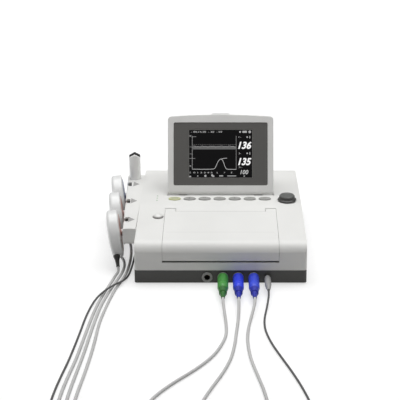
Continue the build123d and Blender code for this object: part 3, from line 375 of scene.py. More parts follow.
for place, centre in drum_centres.items():
    drum = moulded("transducer_%s_white" % place, (0.85, 0.855, 0.85), 0.3, 0.4, coat=0.25)
    along, out = from_axis(drum, centre)
    rubber = drum.between(out, drum_edge, drum_edge + 0.0003)
    drum.set("Base Color", drum.mix(rubber, drum.tone, (0.025, 0.024, 0.023, 1.0)))
    dress(drum, "transducer_%s_shell" % place)
    back = moulded("transducer_%s_ring" % place, back_colours[place], 0.35, 0.4, coat=0.2)
    along, out = from_axis(back, centre)
    bevel = back.between(along, flat_back, flat_back - 0.0004)
    belt_button = back.between(along, flat_back + 0.0010, flat_back + 0.0020)
    back.set("Base Color", back.mix(bevel.most(belt_button), back.tone, (0.85, 0.855, 0.85, 1.0)))
    dress(back, "transducer_%s_cover" % place)
print("transducers dressed:", len(drum_centres))

# %% [markdown]
# ## Plugs and sockets
#
# Each lead plug is over-moulded in its own colour: green for one, blue for the other two. The
# boot behind the ribbed grip, where the cord comes out, is a shade darker. The finish knows it by
# its place along the plug. A socket is a grey ring round a black hole.

# %% Plugs and sockets
plug_grip_end = -0.2245


def plug_finish(name, colour, dark):
    """A plug's plastic, darker from the end of its grip on towards the cord."""
    finish = moulded(name, colour, 0.38, 0.8, 0.05)
    along = finish.axes()[1]
    collar = finish.between(along, plug_grip_end + 0.0006, plug_grip_end - 0.0006)
    finish.set("Base Color", finish.mix(collar, finish.tone, dark))
    return finish


dress(plug_finish("plug_green_plastic", (0.070, 0.33, 0.060), (0.035, 0.17, 0.03, 1.0)), "plug_rear")
dress(plug_finish("plug_blue_plastic", (0.030, 0.060, 0.80), (0.02, 0.03, 0.42, 1.0)), "plug_middle")
dress(plug_finish("plug_light_blue_plastic", (0.050, 0.090, 0.74), (0.03, 0.04, 0.42, 1.0)), "plug_front")
dress(moulded("jack_grey_plastic", (0.36, 0.36, 0.36), 0.45), "plug_marker")

socket_rim_y = -0.1769
socket_grey = moulded("socket_grey_plastic", (0.30, 0.30, 0.29), 0.35)
inside = socket_grey.between(socket_grey.axes()[1], socket_rim_y, socket_rim_y + 0.0005)
socket_grey.set("Base Color", socket_grey.mix(inside, socket_grey.tone, (0.012, 0.012, 0.012, 1.0)))
dress(socket_grey, "front_sockets")
print("plugs and sockets dressed")

# %% [markdown]
# ## Contacts in the open socket
#
# The left socket has no plug in it. At the bottom of such a socket stands a ring of gold-plated
# pins. One pin is a cylinder whose end is drawn in by a bevel. It is turned to lie along the
# socket and copied round a ring, and one more stands in the middle.

# %% Socket pins
gold = Finish("contact_gold", (0.83, 0.60, 0.22), 0.25, 1.0)
wipe = gold.noise(900.0, 3.0, 0.6, (1.0, 0.15, 1.0))
gold.set("Roughness", gold.between(wipe, 0.2, 0.8) * 0.18 + 0.16)
gold.bump(wipe, 0.00001, 0.5)


def settle(piece, name, finish, body):
    """Puts a finished piece's place into its mesh, and hands it over to its body."""
    bpy.ops.object.select_all(action="DESELECT")
    piece.select_set(True)
    bpy.context.view_layer.objects.active = piece
    bpy.ops.object.transform_apply(location=True, rotation=True, scale=True)
    piece.name = name
    piece.data.name = name
    piece.data.materials.clear()
    piece.data.materials.append(finish.material)
    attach(piece, body)
    return piece


def join(pieces):
    """Makes one object of several."""
    bpy.ops.object.select_all(action="DESELECT")
    for piece in pieces:
        piece.select_set(True)
    bpy.context.view_layer.objects.active = pieces[0]
    bpy.ops.object.join()
    return bpy.context.object


socket_x, socket_z, bore_floor = -0.023, 0.0128, -0.1635
ring_pins, ring_radius = 7, 0.0030
pin_radius, pin_length, pin_middle_y = 0.00045, 0.0030, bore_floor - 0.0014
pins = []
for i in range(ring_pins + 1):
    turn = i * 2 * math.pi / ring_pins
    reach = ring_radius if i < ring_pins else 0.0
    bpy.ops.object.select_all(action="DESELECT")
    place = (socket_x + reach * math.cos(turn), pin_middle_y, socket_z + reach * math.sin(turn))
    bpy.ops.mesh.primitive_cylinder_add(vertices=16, radius=pin_radius, depth=pin_length,
                                        location=place, rotation=(math.pi / 2, 0, 0))
    pin = bpy.context.object
    bpy.ops.object.mode_set(mode="EDIT")
    bpy.ops.mesh.select_all(action="SELECT")
    bpy.ops.mesh.bevel(offset=0.0002, segments=2)
    bpy.ops.object.mode_set(mode="OBJECT")
    pins.append(pin)
settle(join(pins), "socket_contacts", gold, "base")
print("contacts:", len(pins))

# %% [markdown]
# ## Metal and inside pieces
#
# The pieces inside show when the drawer is out, and from below and behind. Each gets the finish
# of what it is: turned or drawn steel, cut brass, folded sheet, a green circuit board with black
# chips, rubber, glazed ceramic and coated chart paper. Where one node holds two stuffs, such as a
# roller on its shaft, the finish tells them apart by place.

# %% Metals
def metal(name, colour, roughness, stretch):
    """A metal with fine marks drawn out along the way that it was worked."""
    finish = Finish(name, colour, roughness, 1.0)
    marks = finish.noise(1400.0, 3.0, 0.6, stretch)
    finish.tone = finish.mix(marks, shade(colour, 0.86), shade(colour, 1.1))
    finish.set("Base Color", finish.tone)
    finish.set("Roughness", finish.between(marks, 0.2, 0.8) * 0.16 + (roughness - 0.08))
    finish.bump(marks, 0.00002, 0.4)
    return finish


dress(metal("screw_steel", (0.55, 0.55, 0.53), 0.35, (1.0, 1.0, 0.2)), "case_screws")
dress(metal("pin_steel", (0.60, 0.60, 0.60), 0.28, (0.1, 1.0, 1.0)), "hinge_pins")
dress(metal("shaft_steel", (0.60, 0.60, 0.60), 0.25, (1.0, 1.0, 0.2)), "knob_shaft")
dress(metal("pinion_brass", (0.72, 0.53, 0.22), 0.3, (0.2, 1.0, 1.0)), "motor_pinion")
dress(metal("terminal_brass", (0.70, 0.62, 0.40), 0.3, (1.0, 0.2, 1.0)), "ground_terminal")
dress(metal("supply_case", (0.62, 0.62, 0.61), 0.42, (0.15, 1.0, 1.0)), "power_supply")
dress(metal("motor_steel", (0.42, 0.42, 0.43), 0.38, (0.15, 1.0, 1.0)), "stepper_motor")
print("metals:", len([m for m in bpy.data.materials if "steel" in m.name or "brass" in m.name]))

# %% Roller and its gear
shaft_y, shaft_z, shaft_radius = -0.050, 0.0635, 0.0027
rubber_end = 0.078
ceramic_rear_y = -0.0391
roller = moulded("platen_rubber", (0.045, 0.045, 0.046), 0.7, 2.0, 0.1)
across, along, up = roller.axes()
from_shaft = apart(along - shaft_y, up - shaft_z)
steel = from_shaft < shaft_radius
nylon = (abs(across) > rubber_end) * (from_shaft > shaft_radius)
colour = roller.mix(nylon, roller.tone, (0.72, 0.70, 0.62, 1.0))
roller.set("Base Color", roller.mix(steel, colour, (0.60, 0.60, 0.60, 1.0)))
roller.set("Metallic", steel)
dress(roller, "platen_roller")

head = moulded("head_ceramic", (0.66, 0.62, 0.52), 0.3, 0.3)
carrier = head.axes()[1] > ceramic_rear_y
head.set("Base Color", head.mix(carrier, head.tone, (0.55, 0.55, 0.55, 1.0)))
head.set("Metallic", carrier)
dress(head, "print_head")
print("roller and head dressed")

# %% [markdown]
# Chart paper is a long strip, folded back and forth into a pack, and printed with a fine grid
# that the traces are read against. The grid's lines are half a centimetre apart, with every
# fourth one heavier. On the pack's sides the folds show as thin grey lines. A repeated line is the
# fraction of a place times the lines in a metre, which a large whole number keeps positive.

# %% Chart paper
whole = 100.0
paper_top = 0.0621
paper = Finish("chart_paper", (0.84, 0.83, 0.79), 0.75)
across, along, up = paper.axes()
pulp = paper.noise(700.0, 4.0, 0.6)
blank = paper.mix(pulp, (0.80, 0.79, 0.75, 1.0), (0.88, 0.87, 0.83, 1.0))


def grid(in_a_metre, thickness):
    """Lines both ways, as thick as this share of the space between them."""
    ruled = [(axis * in_a_metre + whole).fraction() < thickness for axis in (across, along)]
    return ruled[0].most(ruled[1])


printed = paper.mix(grid(200.0, 0.06) * 0.45, blank, (0.80, 0.42, 0.30, 1.0))
printed = paper.mix(grid(50.0, 0.03) * 0.8, printed, (0.74, 0.30, 0.20, 1.0))
top_face = up > paper_top
edges = (up * 2500.0).fraction() < 0.35
sides = paper.mix(edges * 0.35, blank, (0.45, 0.44, 0.42, 1.0))
paper.set("Base Color", paper.mix(top_face, sides, printed))
paper.bump(pulp, 0.00002, 0.4)
dress(paper, "paper_pack")
print("chart paper dressed")

# %% Circuit boards
def board_finish(name, copper_top):
    """Dresses a board: green tracks, black chips above the copper, tinned pads at their feet."""
    finish = Finish(name, (0.015, 0.11, 0.035), 0.32)
    across, along, up = finish.axes()
    cells = finish.noise(160.0, 0.0)
    tracks = ((cells * 14.0).fraction() < 0.30) * (finish.noise(40.0, 1.0) > 0.44)
    mask_green = finish.mix(tracks * 0.6, (0.012, 0.095, 0.030, 1.0), (0.03, 0.20, 0.06, 1.0))
    chips = up > copper_top + 0.0002
    pads = (up > copper_top + 0.0002) * (up < copper_top + 0.0006)
    colour = finish.mix(chips, mask_green, (0.022, 0.022, 0.024, 1.0))
    finish.set("Base Color", finish.mix(pads, colour, (0.62, 0.62, 0.60, 1.0)))
    finish.set("Metallic", pads)
    finish.bump(finish.noise(900.0, 2.0), 0.00003, 0.5)
    dress(finish, name)


main_copper_z = 0.0261
key_board_thickness = 0.0016
board_finish("main_board", main_copper_z)
board_finish("key_board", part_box("key_board")[0].z + key_board_thickness)

wrap = moulded("battery_wrap", (0.055, 0.075, 0.12), 0.35, 0.5, coat=0.3)
across = wrap.axes()[0]
seam = abs((across * 50.0 + whole).fraction() - 0.5) < 0.015
wrap.set("Base Color", wrap.mix(seam, wrap.tone, (0.02, 0.03, 0.05, 1.0)))
dress(wrap, "battery_pack")
print("boards and battery dressed")

# %% Rubber, lenses, inlet and speaker
inlet_x, inlet_z, blades_y = -0.095, 0.044, 0.1608
magnet_z = 0.0141
dress(moulded("foot_rubber", (0.022, 0.022, 0.022), 0.75, 3.0, 0.15), "rubber_feet")
lens = moulded("lens_clear_green", (0.50, 0.62, 0.46), 0.22, 0.2, coat=0.5)
dress(lens, "indicator_lenses")
inlet = moulded("inlet_black", (0.020, 0.020, 0.020), 0.4)
across, along, up = inlet.axes()
blades = (abs(across - inlet_x) < 0.0112) * (abs(up - inlet_z) < 0.0072) * (along > blades_y)
inlet.set("Base Color", inlet.mix(blades, inlet.tone, (0.70, 0.69, 0.66, 1.0)))
inlet.set("Metallic", blades)
dress(inlet, "mains_inlet")
speaker = moulded("speaker_paper", (0.035, 0.034, 0.033), 0.8, 4.0, 0.15)
magnet = speaker.axes()[2] > magnet_z
speaker.set("Base Color", speaker.mix(magnet, speaker.tone, (0.30, 0.30, 0.31, 1.0)))
speaker.set("Metallic", magnet)
dress(speaker, "speaker")
print("small pieces dressed")

# %% [markdown]
# ## The display
#
# The module is a sheet-metal tray with a black glass panel standing in the faceplate's window.
# The screen stands at 65 degrees, so its own upward direction is a mix of the room's Y and Z. The
# finish works out each point's height above the hinge line at right angles to the glass, and is
# glass above a small height and metal below it.

# %% Display module
tilt = math.radians(65.0)
hinge = Vector((0.0, 0.030, 0.0907))
glass_from = 0.0029
module = Finish("display_glass", (0.006, 0.006, 0.007), 0.09)
across, along, up = module.axes()
above = (up - hinge.z) * math.cos(tilt) - (along - hinge.y) * math.sin(tilt)
glass = above > glass_from
smear = module.noise(24.0, 3.0)
module.set("Base Color", module.mix(glass, (0.55, 0.55, 0.54, 1.0), (0.006, 0.006, 0.007, 1.0)))
module.set("Metallic", 1.0 - glass)
module.set("Roughness", module.between(smear, 0.2, 0.8) * 0.06 + 0.26 - glass * 0.18)
module.set("Specular IOR Level", 0.08)
dress(module, "display_module")
print("glass begins", round(glass_from * 1000, 1), "mm above the hinge line")

# %% [markdown]
# ## The picture on the panel
#
# The panel shows two heart rates as large numbers, two traces over a grey band, a scale on each
# side and rows of small signs. A picture from a file isn't used. Each line is a thin plate of
# light on the glass, the numbers are text that is turned into a mesh and squeezed into its box,
# and the traces are curves. All are laid out flat, in millimetres from the middle of the glass,
# and then one matrix stands them up with the screen.

# %% Layout helpers
panel_middle = 69.75
panel_height = 3.93
light_depth = 0.00006
stand_up = (Matrix.Translation(hinge) @ Matrix.Rotation(tilt, 4, "X")
            @ Matrix.Translation((0.0, panel_middle / 1000, panel_height / 1000)))


def bar(left, right, low, high):
    """A flat bar between four edges, in millimetres."""
    bpy.ops.object.select_all(action="DESELECT")
    bpy.ops.mesh.primitive_plane_add(size=1.0, location=((left + right) / 2000, (low + high) / 2000, 0))
    piece = bpy.context.object
    piece.scale = ((right - left) / 1000, (high - low) / 1000, 1)
    bpy.ops.object.transform_apply(location=True, rotation=True, scale=True)
    return piece


def signs(words, left, right, low, high, slant=0.0, weight=0.0):
    """Text turned into a mesh that fills the box."""
    bpy.ops.object.select_all(action="DESELECT")
    bpy.ops.object.text_add()
    piece = bpy.context.object
    piece.data.body = words
    piece.data.shear = slant
    piece.data.offset = weight
    piece.data.resolution_u = 4
    bpy.ops.object.convert(target="MESH")
    mesh = bpy.context.object.data
    xs = [v.co.x for v in mesh.vertices]
    ys = [v.co.y for v in mesh.vertices]
    wide, tall = max(xs) - min(xs), max(ys) - min(ys)
    for v in mesh.vertices:
        v.co.x = (left + (v.co.x - min(xs)) / wide * (right - left)) / 1000
        v.co.y = (low + (v.co.y - min(ys)) / tall * (high - low)) / 1000
    return bpy.context.object


def trace(points, width):
    """A smooth line of light through the points, in millimetres."""
    curve = bpy.data.curves.new("trace", "CURVE")
    curve.dimensions = "3D"
    spline = curve.splines.new("NURBS")
    spline.points.add(len(points) - 1)
    for point, where in zip(spline.points, points):
        point.co = (where[0] / 1000, where[1] / 1000, 0, 1)
    spline.order_u = 3
    spline.use_endpoint_u = True
    curve.resolution_u = 6
    curve.bevel_depth = width / 2000
    curve.bevel_resolution = 1
    piece = bpy.data.objects.new("trace", curve)
    bpy.context.scene.collection.objects.link(piece)
    bpy.ops.object.select_all(action="DESELECT")
    piece.select_set(True)
    bpy.context.view_layer.objects.active = piece
    bpy.ops.object.convert(target="MESH")
    for v in bpy.context.object.data.vertices:
        v.co.z = v.co.z * 0.04
    return bpy.context.object


def light_up(pieces, name, colour):
    """Joins flat pieces, gives them a thickness and stands them on the glass."""
    finish = Finish(name + "_light", (0.01, 0.01, 0.01), 0.4)
    across, along, up = finish.axes()
    rows = abs((along * 2900.0).fraction() - 0.5)
    dim = finish.between(rows, 0.5, 0.35)
    finish.set("Emission Color", finish.mix(dim, shade(colour, 0.86), (*colour, 1.0)))
    finish.set("Emission Strength", 1.0)
    piece = join(pieces)
    modifier = piece.modifiers.new("depth", "SOLIDIFY")
    modifier.thickness = light_depth
    bpy.ops.object.modifier_apply(modifier="depth")
    piece.data.transform(stand_up)
    piece.data.update()
    settle(piece, name, finish, "screen")
    print(name, "faces", len(piece.data.polygons))


# %% The numbers and small signs
light_up([signs("136", 32.6, 57.2, 8.9, 22.7, 0.28, 0.03),
          signs("135", 32.6, 57.2, -21.4, -7.8, 0.28, 0.03)],
         "picture_rates", (0.94, 0.94, 0.94))
light_up([signs("100", 36.6, 51.6, -38.2, -30.2, 0.22, 0.02),
          signs("- 00:14:30  - 20  - 03", -54.9, 2.6, 39.2, 42.4),
          signs("1-", 33.6, 38.0, 29.8, 32.4), signs("2-", 33.6, 38.0, -0.6, 2.0),
          signs("3-", 33.4, 40.2, -26.2, -23.8),
          signs("0 1 2 3 4 5", -50.6, -15.0, -36.4, -33.8), signs("6", -7.4, -5.4, -36.4, -33.8),
          signs("7", 6.0, 8.2, -36.4, -33.8), signs("8", 19.2, 21.4, -36.4, -33.8),
          signs("100", -58.4, -54.2, 31.6, 34.4), signs("50", -57.8, -54.4, -24.0, -21.4),
          signs("0", -57.4, -55.6, -36.8, -33.2)],
         "picture_signs", (0.50, 0.50, 0.50))

# %% [markdown]
# A rate trace wanders about its band by a beat or two. Its points come from two sine waves, so
# the run is the same each time. The lower trace is the womb's squeeze: flat, one smooth rise to
# a peak, and flat again.

# %% The scales, the band and the traces
scales = [bar(-53.0, -52.3, -28.9, 33.2), bar(28.6, 29.2, -28.9, 33.2), bar(-53.0, -45.4, 31.4, 32.1),
          bar(-58.4, -47.0, -9.1, -8.5), bar(-57.6, -52.6, 12.4, 13.0), bar(-57.6, -52.6, -0.6, 0.0)]
scales += [bar(-53.6, -51.6, -26.0 + 6.2 * k, -25.6 + 6.2 * k) for k in range(10)]
scales += [bar(-50.0 + 4.0 * k, -48.2 + 4.0 * k, 16.7, 17.2) for k in range(20)]
light_up(scales, "picture_scales", (0.30, 0.30, 0.30))
light_up([bar(-51.4, 28.2, 8.2, 13.4)], "picture_band", (0.115, 0.115, 0.115))
wander = [(-51.0 + 2.2 * k, 13.6 + 0.9 * math.sin(k * 1.9) + 0.6 * math.sin(k * 0.83 + 1.0))
          for k in range(37)]
squeeze = [(-52.6, -28.6), (-40.0, -28.9), (-26.0, -28.9), (-16.0, -28.7), (-11.0, -28.0), (-8.4, -23.0),
           (-5.2, -15.0), (-1.6, -10.4), (1.4, -9.6), (4.2, -12.4), (6.8, -20.0), (9.4, -27.4), (12.4, -28.9),
           (20.0, -29.0), (29.0, -29.0)]
after_peak = [(0.8, -10.0), (5.0, -8.8), (8.6, -8.4), (12.0, -8.2)]
light_up([trace(wander, 0.55), trace(squeeze, 0.95), trace(after_peak, 0.9)],
         "picture_traces", (0.46, 0.46, 0.46))

# %% Icons


def disc(u, v, radius, corners=20):
    """A flat filled round, or a plain polygon with few corners."""
    bpy.ops.object.select_all(action="DESELECT")
    bpy.ops.mesh.primitive_circle_add(vertices=corners, radius=radius / 1000, fill_type="NGON",
                                      location=(u / 1000, v / 1000, 0))
    bpy.ops.object.transform_apply(location=True, rotation=True, scale=True)
    return bpy.context.object


icons = [disc(36.2, 40.8, 2.1, 5), bar(40.6, 48.8, 39.0, 42.8), disc(54.2, 40.8, 2.5),
         disc(49.4, 31.0, 1.5), bar(53.6, 55.0, 28.6, 33.4), disc(49.4, 0.8, 1.5), bar(53.6, 55.0, -1.6, 3.2),
         bar(-58.4, -54.6, -43.6, -41.2), disc(-42.4, -41.4, 1.2), disc(-28.2, -41.2, 2.3, 6),
         disc(-15.6, -40.2, 2.0), bar(-15.4, -11.6, -43.2, -40.4), bar(-2.6, 4.8, -42.2, -40.2),
         bar(12.4, 29.0, -42.0, -40.6), disc(43.8, -41.6, 1.6, 4)]
light_up(icons, "picture_icons", (0.40, 0.40, 0.40))

# %% [markdown]
# ## Faceplate
#
# The faceplate is a satin sheet with a thin printed line a little inside its edge. Like the
# arrows, the line is painted by its distance from the edges, measured along the screen.

# %% Faceplate
plate_middle = 0.0695
line_outside = (0.0838, 0.0552)
line_inside = (0.0834, 0.0548)
plate = moulded("faceplate_satin", (0.118, 0.116, 0.111), 0.40, 0.5, 0.05)
across, along, up = plate.axes()
rise = (up - hinge.z) * math.sin(tilt) + (along - hinge.y) * math.cos(tilt)
high = abs(rise - plate_middle)
outline = (abs(across) < line_outside[0]).least(high < line_outside[1])
hollow = (abs(across) < line_inside[0]).least(high < line_inside[1])
line = outline * (1.0 - hollow)
plate.set("Base Color", plate.mix(line * 0.45, plate.tone, (0.17, 0.168, 0.16, 1.0)))
dress(plate, "screen_faceplate")
print("faceplate dressed")

# %% [markdown]
# ## Cords
#
# A cord is a real length of soft sheath. Each one leaves its transducer, or the event marker, at
# the bottom, drops to the table, runs forward out of view, is wound there into a flat coil, and
# comes back to its plug. Its middle line is one smooth spline whose points are the route's own,
# in millimetres. The coil's turns are more points of the same spline: sixteen to a turn, in along
# the table, up one layer, and out again. Such a spline passes a little inside its points, so the
# turn's points stand that much further out.

# %% Routes of the cords
flat = 2.5
thin = 1.75
coil_step = 1.0
coil_points = 4
passes_inside = 0.981


def coil_turns(start, diameter, radius, quarters):
    """Points round a flat two-layer coil, from where the lead comes in to where it goes out."""
    pitch = diameter + coil_step
    place, ahead, inward = Vector(start), Vector((0, -1, 0)), Vector((-1, 0, 0))
    points = [place.copy()]
    place = place + ahead * diameter
    lean = pitch / (2 * (radius - quarters * pitch / 4))
    reach = 1 / passes_inside
    for k in range(2 * quarters + 3):
        if k < quarters:
            turn = radius - k * pitch / 4
        elif k < quarters + 2:
            turn = radius - quarters * pitch / 4
        else:
            turn = radius - (2 * quarters + 2 - k) * pitch / 4
        if k == quarters:
            inward = inward * math.sqrt(1 - lean * lean) + Vector((0, 0, lean))
        middle = place + inward * turn
        for j in range(coil_points):
            angle = (j + 0.5) * math.pi / 2 / coil_points
            points.append(middle + (ahead * math.sin(angle) - inward * math.cos(angle)) * turn * reach)
        place = place + ahead * turn + inward * turn
        ahead, inward = inward, -ahead
        if k == quarters + 1:
            inward = Vector((inward.x, inward.y, 0)).normalized()
    points.append(place + ahead * diameter)
    return points


lead_routes = {
    "rear": [(3.9, -256.5, 12.8), (3.9, -270, 12.8), (5.4, -288, 9.6), (7.6, -309, 4.2), (9.0, -332, flat),
             (9.4, -358, flat), (5.0, -385, flat), (-9.0, -428, flat), (-36.0, -470, flat),
             (-70.0, -510, flat), (-97.0, -551, flat), (-108.0, -585, flat)],
    "middle": [(30.0, -256.5, 12.8), (30.0, -270, 12.8), (29.8, -288, 9.6), (28.8, -309, 4.2),
               (27.0, -332, flat), (24.6, -360, flat), (22.6, -388, flat), (17.0, -434, flat),
               (4.0, -480, flat), (-14.0, -525, flat), (-28.6, -568, flat), (-32.0, -598, flat)],
    "front": [(56.6, -256.5, 12.8), (56.6, -270, 12.8), (53.6, -288, 9.6), (49.2, -309, 4.2),
              (45.2, -332, flat), (42.4, -360, flat), (41.6, -392, flat), (45.4, -440, flat),
              (54.0, -486, flat), (62.4, -530, flat), (67.4, -576, flat), (68.0, -610, flat)],
    "marker": [(80.3, -226.5, 12.8), (80.3, -240, 12.8), (78.6, -257, 9.4), (75.2, -277, 3.4),
               (71.6, -299, thin), (69.8, -322, thin), (70.6, -350, thin), (79.0, -392, thin),
               (92.0, -434, thin), (106.0, -478, thin), (118.4, -524, thin), (128.0, -572, thin),
               (131.0, -612, thin)],
}
tail_routes = {
    "rear": [(-160.5, -643.94, 8.5), (-176, -641.4, 4.4), (-193, -629, flat), (-203, -604, flat),
             (-205.4, -570, flat), (-203, -528, flat), (-199, -480, flat), (-196, -430, flat),
             (-194.2, -380, flat), (-194, -330, flat), (-190, -284, flat), (-184.6, -240, flat),
             (-178.4, -200, flat), (-170.6, -170, flat), (-164.4, -138, flat), (-162.0, -104, flat),
             (-161.8, -66, flat), (-164.0, -32, flat), (-169.0, -2, flat), (-178.6, 14, flat),
             (-186.6, 29.5, flat), (-185.01, 38.61, 4.84), (-186.4, 44.86, 11.16)],
    "middle": [(-84.5, -655.94, 8.5), (-103, -656.8, 4.4), (-128, -658.6, flat), (-158, -658.4, flat),
               (-186, -651.6, flat), (-207, -631, flat), (-215, -600, flat), (-216.6, -560, flat),
               (-214, -512, flat), (-210, -462, flat), (-206.4, -412, flat), (-204, -362, flat),
               (-201, -312, flat), (-197, -264, flat), (-190, -222, flat), (-184, -190, flat),
               (-177.6, -163, flat), (-171.8, -136, flat), (-170.0, -108, flat), (-173.4, -84, flat),
               (-180.4, -68, flat), (-184.4, -56.5, flat), (-181.63, -49.33, 4.84), (-183.03, -43.07, 11.16)],
    "front": [(15.5, -667.94, 8.5), (-4, -668.8, 4.4), (-33, -670.6, flat), (-76, -671, flat),
              (-124, -670.4, flat), (-168, -667.4, flat), (-204, -654, flat), (-222, -630, flat),
              (-228, -592, flat), (-227, -544, flat), (-223, -494, flat), (-217, -444, flat),
              (-213.6, -394, flat), (-210.4, -344, flat), (-207, -296, flat), (-202, -250, flat),
              (-194.6, -207, flat), (-187.4, -172, flat), (-184.8, -158, flat), (-182.6, -145, flat),
              (-178.26, -137.26, 4.84), (-179.65, -131.01, 11.16)],
    "marker": [(91.38, -661.22, 6.25), (66, -664, thin), (24, -674, thin), (-28, -679, thin),
               (-80, -680, thin), (-132, -679, thin), (-178, -675, thin), (-214, -662, thin),
               (-233, -634, thin), (-239, -592, thin), (-238, -544, thin), (-233.8, -496, thin),
               (-228, -448, thin), (-224, -400, thin), (-220.6, -352, thin), (-218, -306, thin),
               (-214, -270, thin), (-207.6, -246, 5.6), (-196, -226, 10.4), (-179, -199, 10.4),
               (-168, -177, 5.6), (-161.0, -152, thin), (-157.4, -118, thin), (-155.8, -80, thin),
               (-155.0, -40, thin), (-155.6, 0, thin), (-157.4, 38, thin), (-160.4, 72, thin),
               (-163.4, 98, thin), (-164.8, 114.6, thin), (-165.11, 123.37, 9.5),
               (-165.11, 123.37, 20.0)],
}
coil_starts = {"rear": (-108, -603, flat), "middle": (-32, -615, flat), "front": (68, -627, flat),
               "marker": (131, -632, thin)}
print("cords with routes:", len(lead_routes))

# %% [markdown]
# A cord's sheath is soft and a little matt. Drawn over metres of table it picks up a faint haze
# of dust, and it shows very slight waves where it was pulled through the fingers. The finish
# keeps that small: a drift of tone along the cord and a fine bump.

# %% Cords
cord_grey = moulded("cord_grey_sheath", (0.60, 0.60, 0.595), 0.5, 1.5, 0.06)
cord_dark = moulded("cord_dark_sheath", (0.10, 0.10, 0.10), 0.5, 1.5, 0.08)
tie_rubber = moulded("tie_rubber", (0.03, 0.03, 0.032), 0.6, 2.0, 0.1)
strap_width = 6.0


def tie_coil(place, turns, centre, diameter, degrees):
    """A soft strap round the turns of a coil, at an angle about its middle."""
    angle = math.radians(degrees)
    spans = []
    for point in turns:
        away = Vector((point.x - centre[0], point.y - centre[1], 0))
        if abs(away.angle(Vector((math.cos(angle), math.sin(angle), 0)))) < 0.3:
            spans.append(away.length)
    inner, outer = min(spans) - diameter / 2 - 0.2, max(spans) + diameter / 2 + 0.2
    tall = 2 * diameter + coil_step + 0.5
    bpy.ops.object.select_all(action="DESELECT")
    bpy.ops.mesh.primitive_cube_add(size=1.0)
    strap = bpy.context.object
    strap.scale = ((outer - inner) / 1000, strap_width / 1000, tall / 1000)
    bpy.ops.object.transform_apply(location=True, rotation=True, scale=True)
    bpy.ops.object.mode_set(mode="EDIT")
    bpy.ops.mesh.select_all(action="DESELECT")
    bpy.ops.mesh.select_mode(type="FACE")
    bpy.ops.object.mode_set(mode="OBJECT")
    for face in strap.data.polygons:
        face.select = abs(face.normal.y) > 0.9
    bpy.ops.object.mode_set(mode="EDIT")
    bpy.ops.mesh.delete(type="ONLY_FACE")
    bpy.ops.mesh.select_mode(type="EDGE")
    bpy.ops.mesh.select_all(action="DESELECT")
    bpy.ops.object.mode_set(mode="OBJECT")
    for edge in strap.data.edges:
        ends = [strap.data.vertices[i].co for i in edge.vertices]
        edge.select = abs(ends[0].y - ends[1].y) > 0.001
    bpy.ops.object.mode_set(mode="EDIT")
    bpy.ops.mesh.bevel(offset=diameter / 2200, segments=6)
    bpy.ops.object.mode_set(mode="OBJECT")
    thick = strap.modifiers.new("thick", "SOLIDIFY")
    thick.thickness = 0.0006
    thick.offset = -1.0
    bpy.ops.object.modifier_apply(modifier="thick")
    edge_round = strap.modifiers.new("edges", "BEVEL")
    edge_round.width = 0.0002
    edge_round.segments = 2
    bpy.ops.object.modifier_apply(modifier="edges")
    reach = (inner + outer) / 2000
    strap.rotation_euler = (0, 0, angle)
    strap.location = (centre[0] / 1000 + reach * math.cos(angle), centre[1] / 1000 + reach * math.sin(angle),
                      tall / 2000)
    return settle(strap, "tie_%s_%d" % (place, degrees), tie_rubber, "base")


def lay_cord(place, diameter, radius, quarters, finish):
    """One cord as one spline, from the object's end, through its coil, to its plug."""
    turns = coil_turns(coil_starts[place], diameter, radius, quarters)
    centre = (coil_starts[place][0] - radius, coil_starts[place][1])
    ties = [tie_coil(place, turns, centre, diameter, degrees) for degrees in (70, 200)]
    route = list(reversed(tail_routes[place])) + list(reversed(turns)) + list(reversed(lead_routes[place]))
    curve = bpy.data.curves.new("cord_" + place + "_line", "CURVE")
    curve.dimensions = "3D"
    spline = curve.splines.new("NURBS")
    spline.points.add(len(route) - 1)
    for point, where in zip(spline.points, route):
        point.co = (where[0] / 1000, where[1] / 1000, where[2] / 1000, 1.0)
    spline.order_u = 3
    spline.use_endpoint_u = True
    curve.resolution_u = 5
    curve.bevel_depth = diameter / 2000
    curve.bevel_resolution = 3
    curve.use_fill_caps = True
    cord = bpy.data.objects.new("cord_" + place + "_sheath", curve)
    bpy.context.scene.collection.objects.link(cord)
    curve.materials.append(finish.material)
    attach(cord, "base")
    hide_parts("cord_" + place, "coil_" + place)
    start = tuple(v / 1000 for v in route[0])
    print("cord", place, "points", len(route))


lay_cord("rear", 5.0, 34.0, 9, cord_grey)
lay_cord("middle", 5.0, 34.0, 9, cord_grey)
lay_cord("front", 5.0, 34.0, 9, cord_grey)
lay_cord("marker", 3.5, 25.0, 11, cord_dark)

# %% [markdown]
# ## Floor and light
#
# A product photograph like this one is lit by a large soft light overhead, which is why the top
# is nearly white and the upright front is in shade. The floor is white and melts into the
# background. It is made white by its own colour, and by a little glow that only the camera sees,
# so the object isn't over-lit.

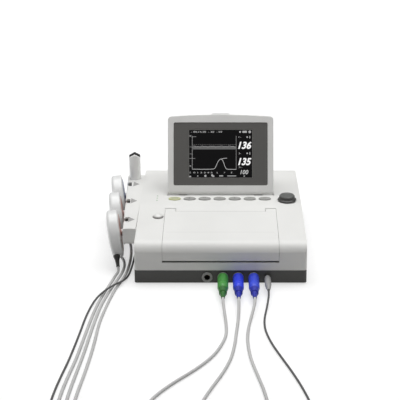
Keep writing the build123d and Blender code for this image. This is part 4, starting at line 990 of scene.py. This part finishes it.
# %% Floor
bpy.ops.object.select_all(action="DESELECT")
bpy.ops.mesh.primitive_plane_add(size=8.0, location=(0.0, 0.0, -0.0004))
floor = bpy.context.object
floor.name = "floor"
floor_white = Finish("floor_white", (0.50, 0.50, 0.50), 0.9)
light_path = floor_white.tree.nodes.new("ShaderNodeLightPath")
seen = Value(floor_white, light_path.outputs["Is Camera Ray"])
seen = seen + Value(floor_white, light_path.outputs["Is Glossy Ray"])
seen = seen + Value(floor_white, light_path.outputs["Is Transmission Ray"])
across, along, up = floor_white.axes()
far = floor_white.between(apart(across, along), 0.7, 3.0)
lit = floor_white.mix(far, (0.58, 0.58, 0.58, 1), (1, 1, 1, 1))
floor_white.set("Emission Color", floor_white.mix(seen, (0, 0, 0, 1), lit))
floor_white.set("Emission Strength", 1.0)
floor.data.materials.append(floor_white.material)

# %% Light
world = bpy.data.worlds.new("studio")
bpy.context.scene.world = world
world.use_nodes = True
world_tree = world.node_tree
background = world_tree.nodes["Background"]
background.inputs["Color"].default_value = (1.0, 1.0, 1.0, 1.0)
path = world_tree.nodes.new("ShaderNodeLightPath")
strength = world_tree.nodes.new("ShaderNodeMapRange")
strength.inputs["To Min"].default_value = 0.16
strength.inputs["To Max"].default_value = 1.0
world_tree.links.new(path.outputs["Is Camera Ray"], strength.inputs["Value"])
world_tree.links.new(strength.outputs["Result"], background.inputs["Strength"])


def soft_light(name, place, aim, size, power, colour=(1.0, 1.0, 1.0)):
    """A large rectangular light that is turned towards a point."""
    data = bpy.data.lights.new(name, "AREA")
    data.color = colour
    data.shape = "RECTANGLE"
    data.size, data.size_y = size
    data.energy = power
    light = bpy.data.objects.new(name, data)
    light.location = place
    light.rotation_euler = (Vector(aim) - Vector(place)).to_track_quat("-Z", "Y").to_euler()
    bpy.context.scene.collection.objects.link(light)


soft_light("overhead", (0.15, 0.25, 1.9), (0, 0.0, 0.05), (2.4, 1.6), 39.0)
soft_light("front_fill", (-0.4, -2.4, 1.5), (0, 0, 0.1), (1.6, 1.0), 2.6, (1.0, 0.94, 0.88))
soft_light("left_side", (-2.2, -0.2, 0.9), (-0.15, 0, 0.08), (1.0, 1.2), 8.0)
bpy.context.scene.view_settings.view_transform = "Standard"
